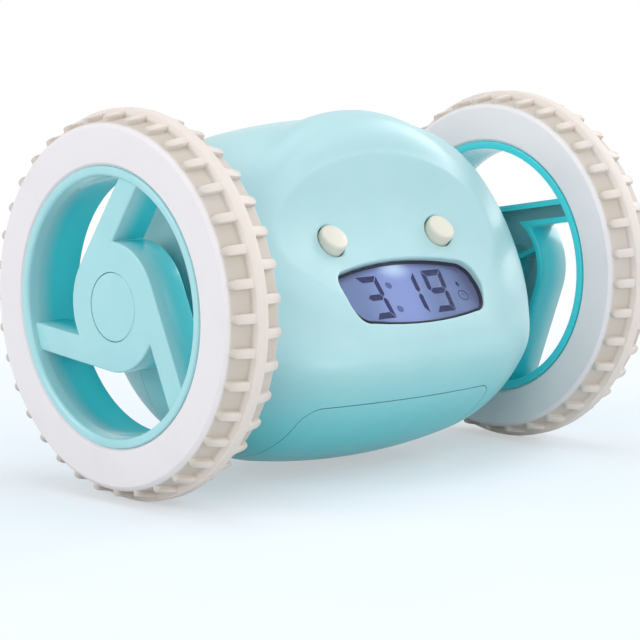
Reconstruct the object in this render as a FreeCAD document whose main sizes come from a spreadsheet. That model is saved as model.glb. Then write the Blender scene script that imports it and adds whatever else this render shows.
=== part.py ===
import FreeCAD, Part
import Sketcher
import math
import os

# A small alarm clock that runs away on two big wheels.  The casing is a round
# barrel lying along X, with a face that bulges out of it.  X runs along the
# axle, the face looks towards -Y, Z is up, and the floor is at Z = 0.
# Every piece is drawn about the axle and then lifted by the wheel's radius.

V = FreeCAD.Vector

SIZES = {
    # overall
    "axle_height": 44.5,
    "half_width": 69.5,
    # tyres and rims
    "tyre_width": 15.3,
    "bead_radius": 31.8,
    "side_radius": 40.4,
    "tread_edge_radius": 41.5,
    "tread_radius": 42.3,
    "ridge_radius": 44.5,
    "ridge_width": 2.9,
    "lug_count": 36,
    "lug_width": 2.3,
    "lug_edge_radius": 42.7,
    "lug_inner_radius": 43.9,
    "rim_inner_radius": 29.3,
    "hub_radius": 14.8,
    "hub_recess": 1.7,
    "spoke_low": 8.7,
    "spoke_depth": 9.5,
    "rim_wall": 1.5,
    "boss_radius": 4.6,
    "cap_radius": 7.8,
    "cap_thickness": 1.0,
    "axle_radius": 2.0,
    # casing
    "barrel_radius": 41.0,
    "barrel_back": 3.0,
    "barrel_drop": 1.5,
    "barrel_half_length": 51.5,
    "barrel_crown": 170.0,
    "barrel_end_round": 29.0,
    "wall": 2.2,
    "head_half_width": 48.7,
    "head_half_depth": 34.3,
    "head_half_height": 50.7,
    "head_back": -3.5,
    "head_drop": 8.0,
    "head_tilt": 9.74,
    "face_round": 5.0,
    "face_dish": 300.0,
    "shoulder_axis": 80.0,
    "face_angle": 46.0,
    "face_height": 20.4,
    "forehead_round": 30.0,
    "parting": 12.0,
    "door_level": -24.0,
    "door_left": -33.2,
    "door_right": 25.4,
    "door_round": 4.0,
    # display
    "window_sink": 0.8,
    "window_thickness": 0.7,
    "window_skirt": 0.6,
    "lcd_half_width": 22.5,
    # buttons
    "eye_radius": 3.6,
    "eye_spread": 17.6,
    "eye_level": -3.45,
    "eye_top": 24.06,
    "eye_round": 0.7,
    "button_gap": 0.3,
    "button_radius": 3.4,
    "snooze_length": 26.0,
    "snooze_width": 7.0,
    "rear_angle": 38.0,
    "speaker_radius": 11.5,
    "speaker_angle": -16.0,
    # batteries: four AAA cells
    "cell_radius": 5.25,
    "cell_length": 43.5,
    "cell_pitch": 11.2,
    "cell_level": -27.5,
    # drive
    "gear_module": 0.5,
    "motor_radius": 10.0,
    "motor_flats": 15.0,
    "motor_length": 25.0,
    "motor_y": 14.0,
    "motor_z": 4.0,
    "shaft_radius": 1.0,
    "pin_radius": 1.5,
    "run_gap": 0.05,
}

doc = FreeCAD.newDocument("runaway_alarm_clock")
sheet = doc.addObject("Spreadsheet::Sheet", "Sizes")
for row, (alias, number) in enumerate(SIZES.items(), start=1):
    sheet.set("A%d" % row, alias)
    sheet.set("B%d" % row, str(number))
    sheet.setAlias("B%d" % row, alias)
doc.recompute()

finished = []


def size(alias):
    """A driving dimension, read back from the sheet."""
    return float(sheet.get(alias))


def bind(item, **cells):
    """Bind properties of an object to cells of the sheet."""
    for name, formula in cells.items():
        for alias in sorted(SIZES, key=len, reverse=True):
            formula = formula.replace("<%s>" % alias, "Sizes." + alias)
        item.setExpression(name, formula)


def about_axle(x=0.0, y=0.0, z=0.0, turn=None):
    """A placement given in the axle's own frame, lifted to the floor frame."""
    rotation = turn if turn is not None else FreeCAD.Rotation()
    return FreeCAD.Placement(V(x, y, z + size("axle_height")), rotation)


# ---------------------------------------------------------------- sketching

def new_body(name):
    """An empty body that may hold more than one solid."""
    body = doc.addObject("PartDesign::Body", name)
    if hasattr(body, "AllowCompound"):
        body.AllowCompound = True
    return body


def plane_sketch(body, role, name, offset=None):
    """A sketch on one of the body's origin planes, moved by an offset."""
    sketch = body.newObject("Sketcher::SketchObject", name)
    plane = [f for f in body.Origin.OriginFeatures if f.Role == role][0]
    sketch.AttachmentSupport = [(plane, "")]
    sketch.MapMode = "FlatFace"
    if offset is not None:
        sketch.AttachmentOffset = offset
    return sketch


def along_x(x):
    """The offset that moves a sketch on the YZ plane along the axle."""
    return FreeCAD.Placement(V(0, 0, x), FreeCAD.Rotation())


def draw_outline(sketch, steps):
    """Draw a closed outline: points joined by lines, or by arcs through a
    middle point where a step is a pair (middle, end)."""
    first = steps[0]
    here = V(first[0], first[1], 0)
    start = here
    for step in list(steps[1:]) + [first]:
        if isinstance(step[0], tuple):
            middle = V(step[0][0], step[0][1], 0)
            there = V(step[1][0], step[1][1], 0)
            arc = Part.Arc(here, middle, there)
            sketch.addGeometry(arc, False)
        else:
            there = V(step[0], step[1], 0)
            if (there - here).Length < 1e-6:
                continue
            sketch.addGeometry(Part.LineSegment(here, there), False)
        here = there
    return start


def draw_circle(sketch, y, z, radius_formula, radius):
    """A circle whose radius follows the sheet."""
    number = sketch.addGeometry(Part.Circle(V(y, z, 0), V(0, 0, 1), radius), False)
    made = sketch.addConstraint(Sketcher.Constraint("Radius", number, radius))
    bind(sketch, **{"Constraints[%d]" % made: radius_formula})
    return number


def spin(body, sketch, name):
    """Revolve a profile drawn beside the X axis."""
    made = body.newObject("PartDesign::Revolution", name)
    made.Profile = sketch
    made.ReferenceAxis = (sketch, ["H_Axis"])
    made.Angle = 360.0
    return made


def raise_pad(body, sketch, name, length, down=False, both=False):
    """Pad a sketch by a length given as a formula of the sheet."""
    made = body.newObject("PartDesign::Pad", name)
    made.Profile = sketch
    made.Reversed = down
    made.Midplane = both
    bind(made, Length=length)
    return made


def sink_pocket(body, sketch, name, length, down=False):
    """Pocket a sketch by a length given as a formula of the sheet."""
    made = body.newObject("PartDesign::Pocket", name)
    made.Profile = sketch
    made.Reversed = down
    bind(made, Length=length)
    return made


def ring_of(body, feature, name, count_formula):
    """Repeat a feature evenly about the X axis."""
    made = body.newObject("PartDesign::PolarPattern", name)
    made.Originals = [feature]
    axis = [f for f in body.Origin.OriginFeatures if f.Role == "X_Axis"][0]
    made.Axis = (axis, [""])
    made.Angle = 360.0
    bind(made, Occurrences=count_formula)
    body.Tip = made
    return made


# ------------------------------------------------------------ plain solids

def cylinder(name, radius, height, base, direction):
    """A cylinder: radius and height are formulas of the sheet."""
    made = doc.addObject("Part::Cylinder", name)
    bind(made, Radius=radius, Height=height)
    turn = FreeCAD.Rotation(V(0, 0, 1), V(*direction))
    made.Placement = FreeCAD.Placement(V(*base), turn)
    return made


def box(name, lengths, corner, placement=None):
    """A box: its three lengths are formulas of the sheet."""
    made = doc.addObject("Part::Box", name)
    bind(made, Length=lengths[0], Width=lengths[1], Height=lengths[2])
    local = FreeCAD.Placement(V(*corner), FreeCAD.Rotation())
    made.Placement = placement.multiply(local) if placement else local
    return made


def on_plane(placement, obj, x=0.0, w=0.0, h=0.0):
    """Set an object down on a tilted plane."""
    made = FreeCAD.Placement(V(x, w, h), FreeCAD.Rotation())
    obj.Placement = placement.multiply(made)
    return obj


def join(name, parts):
    made = doc.addObject("Part::MultiFuse", name)
    made.Shapes = parts
    return made


def cut(name, base, tool):
    made = doc.addObject("Part::Cut", name)
    made.Base = base
    made.Tool = tool
    return made


def common(name, base, tool):
    made = doc.addObject("Part::MultiCommon", name)
    made.Shapes = [base, tool]
    return made


def group(name, parts):
    """Several separate solids kept in one node."""
    made = doc.addObject("Part::Compound", name)
    made.Links = parts
    return made


def prism(name, steps, placement, length, start=0.0):
    """A straight prism of a drawn outline, standing on a tilted plane."""
    sketch = doc.addObject("Sketcher::SketchObject", name + "_outline")
    lift = FreeCAD.Placement(V(0, 0, start), FreeCAD.Rotation())
    sketch.Placement = placement.multiply(lift)
    draw_outline(sketch, steps)
    made = doc.addObject("Part::Extrusion", name)
    made.Base = sketch
    made.DirMode = "Normal"
    made.Solid = True
    bind(made, LengthFwd=length)
    return made


def finish(obj, label, placement=None):
    """Name a finished piece and lift it to the floor frame."""
    obj.Label = label
    lift = placement if placement is not None else about_axle()
    obj.Placement = lift.multiply(obj.Placement)
    finished.append(obj)
    return obj


# ------------------------------------------------------------------ wheels

def wheel_x(side, depth):
    """X of a point at a depth from the wheel's outer plane."""
    return side * (size("half_width") - depth)


def build_tyre(side, label, first_lug):
    """A soft tyre: a ring with a raised middle ridge and two rows of lugs."""
    body = new_body(label + "_body")
    width = size("tyre_width")
    middle = width / 2
    half_ridge = size("ridge_width") / 2
    bead = size("bead_radius")
    profile = [
        (0.9, bead), (0.0, bead + 0.5), (0.0, size("side_radius")),
        (1.1, size("tread_edge_radius")),
        (middle - half_ridge - 0.2, size("tread_radius")),
        (middle - half_ridge + 0.2, size("ridge_radius")),
        (middle + half_ridge - 0.2, size("ridge_radius")),
        (middle + half_ridge + 0.2, size("tread_radius")),
        (width - 1.1, size("tread_edge_radius")),
        (width, size("side_radius")), (width, bead + 0.5), (width - 0.9, bead),
    ]
    section = plane_sketch(body, "XY_Plane", label + "_section")
    draw_outline(section, [(wheel_x(side, d), r) for d, r in profile])
    spin(body, section, label + "_ring")
    lug_foot = size("tread_edge_radius") - 1.4
    half = size("lug_width") / 2
    inner_end = middle - half_ridge + 0.1
    pitch = 360.0 / size("lug_count")
    for number, (near, far, turn) in enumerate(
            [(0.9, inner_end, first_lug), (width - 0.9, width - inner_end, first_lug + pitch / 2)]):
        angle = math.radians(turn)
        offset = FreeCAD.Placement(
            V(0, -math.sin(angle) * lug_foot, math.cos(angle) * lug_foot),
            FreeCAD.Rotation(V(1, 0, 0), turn))
        foot = plane_sketch(body, "XY_Plane", "%s_lug_%d_foot" % (label, number), offset)
        x_near = wheel_x(side, near)
        x_far = wheel_x(side, far)
        inward = half if x_far > x_near else -half
        draw_outline(foot, [
            (x_near + inward, -half),
            ((x_near, 0.0), (x_near + inward, half)),
            (x_far, half), (x_far, -half)])
        lug = raise_pad(body, foot, "%s_lug_%d" % (label, number), "3.6")
        doc.recompute()
        ring_of(body, lug, "%s_lugs_%d" % (label, number), "<lug_count>")
    crown = plane_sketch(body, "XY_Plane", label + "_crown_section")
    edge = size("lug_edge_radius") - 0.35
    top = size("lug_inner_radius")
    inside = middle - half_ridge - 0.25
    draw_outline(crown, [(wheel_x(side, d), r) for d, r in
                         [(-0.5, edge), (inside, top), (inside, 47.0), (-0.5, 47.0)]])
    draw_outline(crown, [(wheel_x(side, width - d), r) for d, r in
                         [(-0.5, edge), (inside, top), (inside, 47.0), (-0.5, 47.0)]])
    trim = body.newObject("PartDesign::Groove", label + "_crown")
    trim.Profile = crown
    trim.ReferenceAxis = (crown, ["H_Axis"])
    trim.Angle = 360.0
    body.Tip = trim
    return finish(body, label)


def spoke_outline(first, hub, low, high, reach):
    """The hub with its three one-sided spokes, as one closed outline.
    Angles run from -Y towards +Z; each spoke is the strip between the
    offsets low and high to the left of its direction."""
    def point(angle, along, offset):
        c, s = math.cos(angle), math.sin(angle)
        return (-(along * c - offset * s), along * s + offset * c)

    def on_circle(angle, radius):
        return (-radius * math.cos(angle), radius * math.sin(angle))

    inner = math.sqrt(reach ** 2 - low ** 2)
    outer = math.sqrt(reach ** 2 - high ** 2)
    root = math.sqrt(max(hub ** 2 - high ** 2, 0.0))
    lean = math.asin(low / hub)
    steps, hub_arcs = [], []
    for number in range(3):
        angle = math.radians(first + 120.0 * number)
        start = point(angle, math.sqrt(hub ** 2 - low ** 2), low)
        # the hub's arc comes from the last spoke's far side to this near side
        hub_arcs.append((on_circle(angle + (lean - math.pi / 6) / 2, hub), start))
        steps.append(hub_arcs[-1] if steps else start)
        steps.append(point(angle, inner, low))
        tip = angle + (math.atan2(high, outer) + math.atan2(low, inner)) / 2
        steps.append((on_circle(tip, reach), point(angle, outer, high)))
        steps.append(point(angle, root, high))
    return steps + [hub_arcs[0]]


def build_rim(side, label, first):
    """A rim: a barrel with a rounded lip, and a recessed pinwheel of three
    hollow spokes about the hub."""
    body = new_body(label + "_body")
    width = size("tyre_width")
    bead = size("bead_radius")
    bore = size("rim_inner_radius")
    section = plane_sketch(body, "XY_Plane", label + "_section")
    draw_outline(section, [(wheel_x(side, d), r) for d, r in [
        (1.5, bore), (0.5, bore + 0.25), (0.0, bore + 0.9), (0.0, bead - 0.7),
        (0.5, bead), (width, bead), (width, bore + 0.6)]])
    spin(body, section, label + "_barrel")
    wall = size("rim_wall")
    hub = size("hub_radius")
    recess = size("hub_recess")
    depth = size("spoke_depth")
    low = size("spoke_low")
    inward = side > 0
    star = plane_sketch(body, "YZ_Plane", label + "_star", along_x(wheel_x(side, recess)))
    draw_outline(star, spoke_outline(first, hub, low, hub - 0.001, bore + 1.2))
    raise_pad(body, star, label + "_spokes", "<spoke_depth>", down=inward)
    back = plane_sketch(body, "YZ_Plane", label + "_back",
                        along_x(wheel_x(side, recess + depth)))
    draw_outline(back, spoke_outline(first, hub - wall, low + wall, hub - wall - 0.001, bore - 0.1))
    sink_pocket(body, back, label + "_hollow", "<spoke_depth> - <rim_wall>", down=not inward)
    boss = plane_sketch(body, "YZ_Plane", label + "_boss_circle", along_x(wheel_x(side, recess + 0.5)))
    draw_circle(boss, 0, 0, "<boss_radius>", size("boss_radius"))
    raise_pad(body, boss, label + "_boss", "<tyre_width> - <hub_recess> - 2.5", down=inward)
    ribs = plane_sketch(body, "YZ_Plane", label + "_rib_lines", along_x(wheel_x(side, recess + 0.8)))
    for number in range(3):
        angle = math.radians(first + 120.0 * number + 15.0)
        c, s = math.cos(angle), math.sin(angle)
        corners = [(3.5, -0.6), (hub - 0.7, -0.6), (hub - 0.7, 0.6), (3.5, 0.6)]
        draw_outline(ribs, [(-(a * c - b * s), a * s + b * c) for a, b in corners])
    raise_pad(body, ribs, label + "_ribs", "<spoke_depth> - 2.5", down=inward)
    seat = plane_sketch(body, "YZ_Plane", label + "_seat_circle", along_x(wheel_x(side, recess)))
    draw_circle(seat, 0, 0, "<cap_radius> + 0.15", size("cap_radius") + 0.15)
    sink_pocket(body, seat, label + "_seat", "<cap_thickness>", down=not inward)
    head = plane_sketch(body, "YZ_Plane", label + "_head_circle", along_x(wheel_x(side, recess)))
    draw_circle(head, 0, 0, "3.1", 3.1)
    sink_pocket(body, head, label + "_head_seat", "<cap_thickness> + 1.8", down=not inward)
    hole = plane_sketch(body, "YZ_Plane", label + "_hole_circle", along_x(wheel_x(side, recess)))
    draw_circle(hole, 0, 0, "<axle_radius> + 0.02", size("axle_radius") + 0.02)
    sink_pocket(body, hole, label + "_hole", "<tyre_width>", down=not inward)
    return finish(body, label)


def x_cylinder(name, radius, start, stop, y=0.0, z=0.0):
    """A cylinder along X between two positions."""
    low, high = min(start, stop), max(start, stop)
    made = cylinder(name, radius, "%.4f" % (high - low), (low, y, z), (1, 0, 0))
    return made


def build_wheel(side, word, first_spoke, first_lug):
    """Everything that turns with one wheel."""
    build_tyre(side, "tyre_" + word, first_lug)
    build_rim(side, "rim_" + word, first_spoke)
    recess = size("hub_recess")
    cap = x_cylinder("cap_disc_" + word, "<cap_radius>",
                     wheel_x(side, recess), wheel_x(side, recess + size("cap_thickness")))
    rounded = doc.addObject("Part::Fillet", "cap_round_" + word)
    rounded.Base = cap
    doc.recompute()
    outer = [n for n, e in enumerate(cap.Shape.Edges, start=1)
             if abs(e.CenterOfMass.x - wheel_x(side, recess)) < 0.01]
    rounded.Edges = [(n, 0.3, 0.3) for n in outer]
    finish(rounded, "hub_cap_" + word)
    seat = recess + size("cap_thickness") + 1.8
    head = x_cylinder("screw_head_" + word, "2.8", wheel_x(side, seat - 1.6), wheel_x(side, seat))
    stem = x_cylinder("screw_stem_" + word, "1.2", wheel_x(side, seat - 0.2), wheel_x(side, seat + 6.0))
    slot = box("screw_slot_" + word, ("1.0", "0.7", "6.0"),
               (wheel_x(side, seat - 1.6) - 0.5, -0.35, -3.0))
    finish(cut("screw_cut_" + word, join("screw_body_" + word, [head, stem]), slot),
           "axle_screw_" + word)
    rod = x_cylinder("axle_rod_" + word, "<axle_radius>", wheel_x(side, seat + 0.1), side * 29.4)
    thread = x_cylinder("axle_thread_" + word, "1.25", wheel_x(side, seat), wheel_x(side, seat + 7.0))
    finish(cut("axle_cut_" + word, rod, thread), "axle_" + word)


# ------------------------------------------------------------------- drive

def gear_outline(teeth, phase, y=0.0, z=0.0):
    """A gear's outline: straight-sided teeth with some backlash."""
    module = size("gear_module")
    pitch = module * teeth / 2
    rows = [(pitch - 1.25 * module, 0.44), (pitch + module, 0.11)]
    points = []
    for tooth in range(int(teeth)):
        centre = phase + 2 * math.pi * tooth / teeth
        root, tip = rows
        for radius, half in [root, tip]:
            points.append((radius, centre - half / pitch * (pitch / radius)))
        for radius, half in [tip, root]:
            points.append((radius, centre + half / pitch * (pitch / radius)))
    return [(y + r * math.cos(a), z + r * math.sin(a)) for r, a in points]


def build_gear(label, wheels, bore):
    """A gear body with one or two toothed rings along X and a bore.
    Each ring is (start x, length, teeth, phase)."""
    body = new_body(label + "_body")
    for number, (start, length, teeth, phase) in enumerate(wheels):
        teeth_line = plane_sketch(body, "YZ_Plane", "%s_teeth_%d" % (label, number), along_x(start))
        draw_outline(teeth_line, gear_outline(teeth, phase))
        raise_pad(body, teeth_line, "%s_ring_%d" % (label, number), "%.3f" % length)
    first = min(w[0] for w in wheels)
    hole = plane_sketch(body, "YZ_Plane", label + "_bore_circle", along_x(first - 1.0))
    draw_circle(hole, 0, 0, bore[0], bore[1])
    sink_pocket(body, hole, label + "_bore", "20", down=True)
    return body


def build_drive(side, word):
    """One wheel's motor, gears, frame and bearing."""
    motor = (size("motor_y"), size("motor_z"))
    module = size("gear_module")
    near = module * (10 + 40) / 2
    far = module * (12 + 42) / 2
    reach = math.hypot(*motor)
    along = (far ** 2 - near ** 2 + reach ** 2) / (2 * reach)
    across = math.sqrt(far ** 2 - along ** 2)
    unit = (motor[0] / reach, motor[1] / reach)
    idler = (unit[0] * along + unit[1] * across, unit[1] * along - unit[0] * across)

    def span(start, stop):
        return (min(side * start, side * stop), abs(stop - start))

    to_motor = math.atan2(motor[1] - idler[1], motor[0] - idler[0])
    to_axle = math.atan2(-idler[1], -idler[0])
    pinion = build_gear("pinion_" + word,
                        [span(31.0, 36.0) + (10, to_motor + math.pi + math.pi / 10)],
                        ("<shaft_radius> + 0.01", size("shaft_radius") + 0.01))
    finish(pinion, "pinion_" + word, about_axle(0, motor[0], motor[1]))
    idler_gear = build_gear("idler_gear_" + word,
                            [span(31.5, 35.5) + (40, to_motor), span(35.5, 41.5) + (12, to_axle)],
                            ("<pin_radius> + <run_gap>", size("pin_radius") + size("run_gap")))
    finish(idler_gear, "idler_gear_" + word, about_axle(0, idler[0], idler[1]))
    axle_gear = build_gear("axle_gear_" + word,
                           [span(36.5, 41.0) + (42, to_axle + math.pi + math.pi / 42)],
                           ("<axle_radius> + 0.01", size("axle_radius") + 0.01))
    finish(axle_gear, "axle_gear_" + word)

    shaft = x_cylinder("shaft_rod_" + word, "<shaft_radius>", side * 5.0, side * 36.5, *motor)
    finish(shaft, "motor_shaft_" + word)
    can = x_cylinder("motor_can_" + word, "<motor_radius>", side * 3.6, side * 28.6, *motor)
    nose = x_cylinder("motor_nose_" + word, "3.0", side * 28.0, side * 30.2, *motor)
    flats = box("motor_flats_" + word, ("<motor_length> + 6", "<motor_radius> * 2 + 2", "<motor_flats>"),
                (min(side * 2.0, side * 33.0), motor[0] - size("motor_radius") - 1,
                 motor[1] - size("motor_flats") / 2))
    bore = x_cylinder("motor_bore_" + word, "<shaft_radius> + <run_gap>", side * 4.5, side * 32.0, *motor)
    shell = common("motor_shell_" + word, join("motor_round_" + word, [can, nose]), flats)
    finish(cut("motor_cut_" + word, shell, bore), "motor_" + word)

    pin = x_cylinder("pin_rod_" + word, "<pin_radius>", side * 28.8, side * 45.2, *idler)
    finish(pin, "idler_pin_" + word)

    # three posts hold the plates apart, clear of the gears between them
    low_y, low_z = -11.5, -17.0
    plates = [box("frame_%s_%s" % (place, word), ("1.6", "33.5", "30.0"),
                  (span(start, start + 1.6)[0], low_y, low_z))
              for place, start in (("inner", 29.0), ("outer", 43.4))]
    posts = [x_cylinder("frame_post_%d_%s" % (n, word), "2.0", side * 29.5, side * 44.5, y, z)
             for n, (y, z) in enumerate([(-9.0, 10.3), (19.0, 9.0), (-5.0, -14.0)])]
    collar = x_cylinder("frame_collar_" + word, "6.5", side * 44.5, side * 49.2)
    solid = join("frame_solid_" + word, plates + posts + [collar])
    holes = join("frame_holes_" + word, [
        x_cylinder("frame_axle_hole_" + word, "<axle_radius> + <run_gap>", side * 20.0, side * 46.0),
        x_cylinder("frame_bush_hole_" + word, "4.1", side * 45.0, side * 55.0),
        x_cylinder("frame_pin_hole_" + word, "<pin_radius> + 0.01", side * 20.0, side * 50.0, *idler),
        x_cylinder("frame_nose_hole_" + word, "3.2", side * 20.0, side * 32.0, *motor),
    ])
    finish(cut("frame_cut_" + word, solid, holes), "drive_frame_" + word)

    tube = x_cylinder("bush_tube_" + word, "4.0", side * 46.5, side * 52.0)
    flange = x_cylinder("bush_flange_" + word, "5.4", side * 51.5, side * 52.3)
    through = x_cylinder("bush_bore_" + word, "<axle_radius> + <run_gap>", side * 40.0, side * 60.0)
    finish(cut("bush_cut_" + word, join("bush_solid_" + word, [tube, flange]), through),
           "axle_bush_" + word)
    return idler


# ------------------------------------------------------------------ casing

FACE = FreeCAD.Placement(V(0, 0, 0), FreeCAD.Rotation(V(1, 0, 0), size("face_angle")))
# local X -> world Y, local Y -> world Z, normal -> world X
SIDE_VIEW = FreeCAD.Placement(FreeCAD.Matrix(0, 0, 1, -80, 1, 0, 0, 0, 0, 1, 0, 0, 0, 0, 0, 1))


def face_point(w, level):
    """World (y, z) of a point of the tilted face frame."""
    angle = math.radians(size("face_angle"))
    return (w * math.cos(angle) - level * math.sin(angle),
            w * math.sin(angle) + level * math.cos(angle))


def build_form(name, inset, face_inset, rounding):
    """The casing's form, shrunk by an inset: a crowned barrel cut back at the
    shoulders, joined to the head."""
    radius = size("barrel_radius") - inset
    half = size("barrel_half_length") - inset
    corner = size("barrel_end_round") - inset
    crown = size("barrel_crown")
    body = new_body(name + "_barrel_body")
    section = plane_sketch(body, "XY_Plane", name + "_barrel_section")
    # the end arcs meet the crown's arc at a common tangent
    flank = half - corner
    lean = math.asin(flank / (crown - corner))
    level = radius - crown + (crown - corner) * math.cos(lean)
    touch = (crown * math.sin(lean), radius - crown + crown * math.cos(lean))
    turn = (lean + math.pi / 2) / 2
    knee = (flank + corner * math.sin(turn), level + corner * math.cos(turn))
    draw_outline(section, [
        (-half, 0.0), (-half, level),
        ((-knee[0], knee[1]), (-touch[0], touch[1])),
        ((0.0, radius), touch),
        (knee, (half, level)),
        (half, 0.0)])
    spin(body, section, name + "_barrel")
    body.Placement = FreeCAD.Placement(V(0, size("barrel_back"), -size("barrel_drop")), FreeCAD.Rotation())

    # the shoulders: cut back above the belly by a surface that is round in plan
    back = face_inset
    turn_y = size("shoulder_axis")
    shoulder = doc.addObject("Sketcher::SketchObject", name + "_shoulder_line")
    shoulder.Placement = SIDE_VIEW.multiply(FreeCAD.Placement(V(0, 0, 80), FreeCAD.Rotation()))
    draw_outline(shoulder, [
        (-60.0 + back, -20.0), (-37.1 + back, -12.2), (-34.2 + back, -8.4),
        ((-28.4 + back, 6.0), (-18.7 + back, 24.5)),
        ((-12.6 + back, 33.0 - back / 3), (-4.2 + back, 41.0 - back)),
        (4.0, 60.0), (-95.0, 60.0), (-95.0, -20.0)])
    shaving = doc.addObject("Part::Revolution", name + "_shoulder_cut")
    shaving.Source = shoulder
    shaving.Axis = V(0, 0, 1)
    shaving.Base = V(0, turn_y, 0)
    shaving.Angle = 110.0
    shaving.Symmetric = True
    shaving.Solid = True
    barrel = cut(name + "_shoulders", body, shaving)

    # the head: a tilted egg, cut by the face
    egg = doc.addObject("Part::Ellipsoid", name + "_egg")
    bind(egg, Radius1="<head_half_depth> - %.3f" % inset, Radius2="<head_half_width> - %.3f" % inset,
         Radius3="<head_half_height> - %.3f" % inset)
    tilt = FreeCAD.Rotation(V(1, 0, 0), 90.0 + size("head_tilt"))
    egg.Placement = FreeCAD.Placement(V(0, size("head_back"), -size("head_drop")), tilt)
    level = size("face_height") - face_inset
    knee_y, knee_z = face_point(-9.5, level)
    brow = math.radians(80.0)
    bend = size("forehead_round") + face_inset
    start = math.radians(size("face_angle"))
    # arc turning from the face's slope to the forehead's, hollow towards the front
    centre = (knee_y - bend * math.sin(start), knee_z + bend * math.cos(start))
    middle = (start + brow) / 2

    def arc_point(angle):
        return (centre[0] + bend * math.sin(angle), centre[1] - bend * math.cos(angle))

    top = arc_point(brow)
    low_y, low_z = face_point(-70.0, level)
    reach = size("face_dish")
    hollow = doc.addObject("Sketcher::SketchObject", name + "_face_line")
    hollow.Placement = SIDE_VIEW.multiply(FreeCAD.Placement(V(0, 0, 80), FreeCAD.Rotation()))
    draw_outline(hollow, [
        (low_y, low_z), (knee_y, knee_z), (arc_point(middle), top),
        (top[0] + (60 - top[1]) / math.tan(brow), 60.0), (-95.0, 60.0), (-95.0, low_z)])
    scoop = doc.addObject("Part::Revolution", name + "_face_scoop")
    scoop.Source = hollow
    scoop.Axis = V(0, 0, 1)
    scoop.Base = V(0, knee_y - reach, 0)
    scoop.Angle = 32.0
    scoop.Symmetric = True
    scoop.Solid = True
    below = prism(name + "_head_side", [
        (-90.0, 60.0), (60.0, 60.0), (60.0, -30.0), (0.0, -30.0),
        (-34.0, -12.0 + inset), (-38.0, -11.4 + inset), (-90.0, -11.0 + inset)],
        SIDE_VIEW, "160")
    head = cut(name + "_head", common(name + "_head_block", egg, below), scoop)
    barrel = cut(name + "_hollow", barrel, common(name + "_face_space", egg, scoop))
    if rounding > 0:
        doc.recompute()
        soft = doc.addObject("Part::Fillet", name + "_head_soft")
        soft.Base = head
        chosen = []
        for number, edge in enumerate(head.Shape.Edges, start=1):
            middle_point = edge.CenterOfMass
            box_of = edge.BoundBox
            if box_of.ZMin > -10.5 and middle_point.y < 20 and box_of.XLength > 0.5:
                chosen.append(number)
        soft.Edges = [(n, rounding, rounding) for n in chosen]
        head = soft
    return join(name + "_form", [barrel, head])


# The mouth-shaped display opening, in the face frame (x across, w up the face).
def mouth(grow):
    """The display opening's outline, grown by a margin."""
    g = grow
    return [
        (-19.3 - g * 0.7, -11.7 + g * 0.8),
        ((0.0, -9.2 + g), (19.3 + g * 0.7, -11.7 + g * 0.8)),
        ((21.2 + g, -13.4 + g * 0.3), (22.0 + g, -16.6)),
        ((21.9 + g, -19.8), (20.7 + g, -23.2 - g * 0.3)),
        ((19.3 + g * 0.7, -25.0 - g * 0.7), (17.0 + g * 0.2, -25.8 - g)),
        ((0.0, -27.5 - g), (-17.0 - g * 0.2, -25.8 - g)),
        ((-19.3 - g * 0.7, -25.0 - g * 0.7), (-20.7 - g, -23.2 - g * 0.3)),
        ((-21.9 - g, -19.8), (-22.0 - g, -16.6)),
        ((-21.2 - g, -13.4 + g * 0.3), (-19.3 - g * 0.7, -11.7 + g * 0.8)),
    ]


def round_bar(length, width):
    """A bar's outline with half-round ends, centred on the origin."""
    reach = (length - width) / 2
    half = width / 2
    return [(-reach, -half), (reach, -half), ((reach + half, 0.0), (reach, half)),
            (-reach, half), ((-reach - half, 0.0), (-reach, -half))]


def plane_cylinder(name, plane, x, w, low, high, radius):
    """A cylinder standing on a tilted plane, from one level to another."""
    made = doc.addObject("Part::Cylinder", name)
    bind(made, Radius=radius, Height="%.4f" % (high - low))
    return on_plane(plane, made, x, w, low)


def plane_box(name, plane, lows, highs):
    """A box on a tilted plane between two corners."""
    lengths = ["%.4f" % (b - a) for a, b in zip(lows, highs)]
    return box(name, lengths, lows, plane)


def shifted(plane, x, w):
    """A tilted plane moved across itself."""
    return plane.multiply(FreeCAD.Placement(V(x, w, 0), FreeCAD.Rotation()))


def tilted(angle):
    """The plane that faces outwards from the barrel's back at an angle."""
    turn = FreeCAD.Rotation(V(1, 0, 0), angle - 90.0)
    return FreeCAD.Placement(V(0, size("barrel_back"), -size("barrel_drop")), turn)


REAR = tilted(size("rear_angle"))
SPEAKER = tilted(size("speaker_angle"))
FRONT_VIEW = FreeCAD.Placement(FreeCAD.Matrix(1, 0, 0, 0, 0, 0, -1, 80, 0, 1, 0, 0, 0, 0, 0, 1))

TIME_SPOT = (-15.0, 5.0)
ALARM_SPOT = (-1.0, 5.0)
SWITCH_SPOT = (12.0, 5.0)
SNOOZE_SPOT = (0.0, -8.0)
UPPER_SCREW = (38.0, 25.5)
LOWER_SCREW = (40.0, -25.5)
DOOR_SCREW = (0.0, 30.0)


def screw_spots():
    return [(side * x, z) for side in (-1, 1) for x, z in (UPPER_SCREW, LOWER_SCREW)]


def y_cylinder(name, radius, x, z, start, stop):
    """A cylinder along Y between two positions."""
    return cylinder(name, radius, "%.4f" % (stop - start), (x, start, z), (0, 1, 0))


def z_cylinder(name, radius, x, y, start, stop):
    """A cylinder along Z between two positions."""
    return cylinder(name, radius, "%.4f" % (stop - start), (x, y, start), (0, 0, 1))


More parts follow.
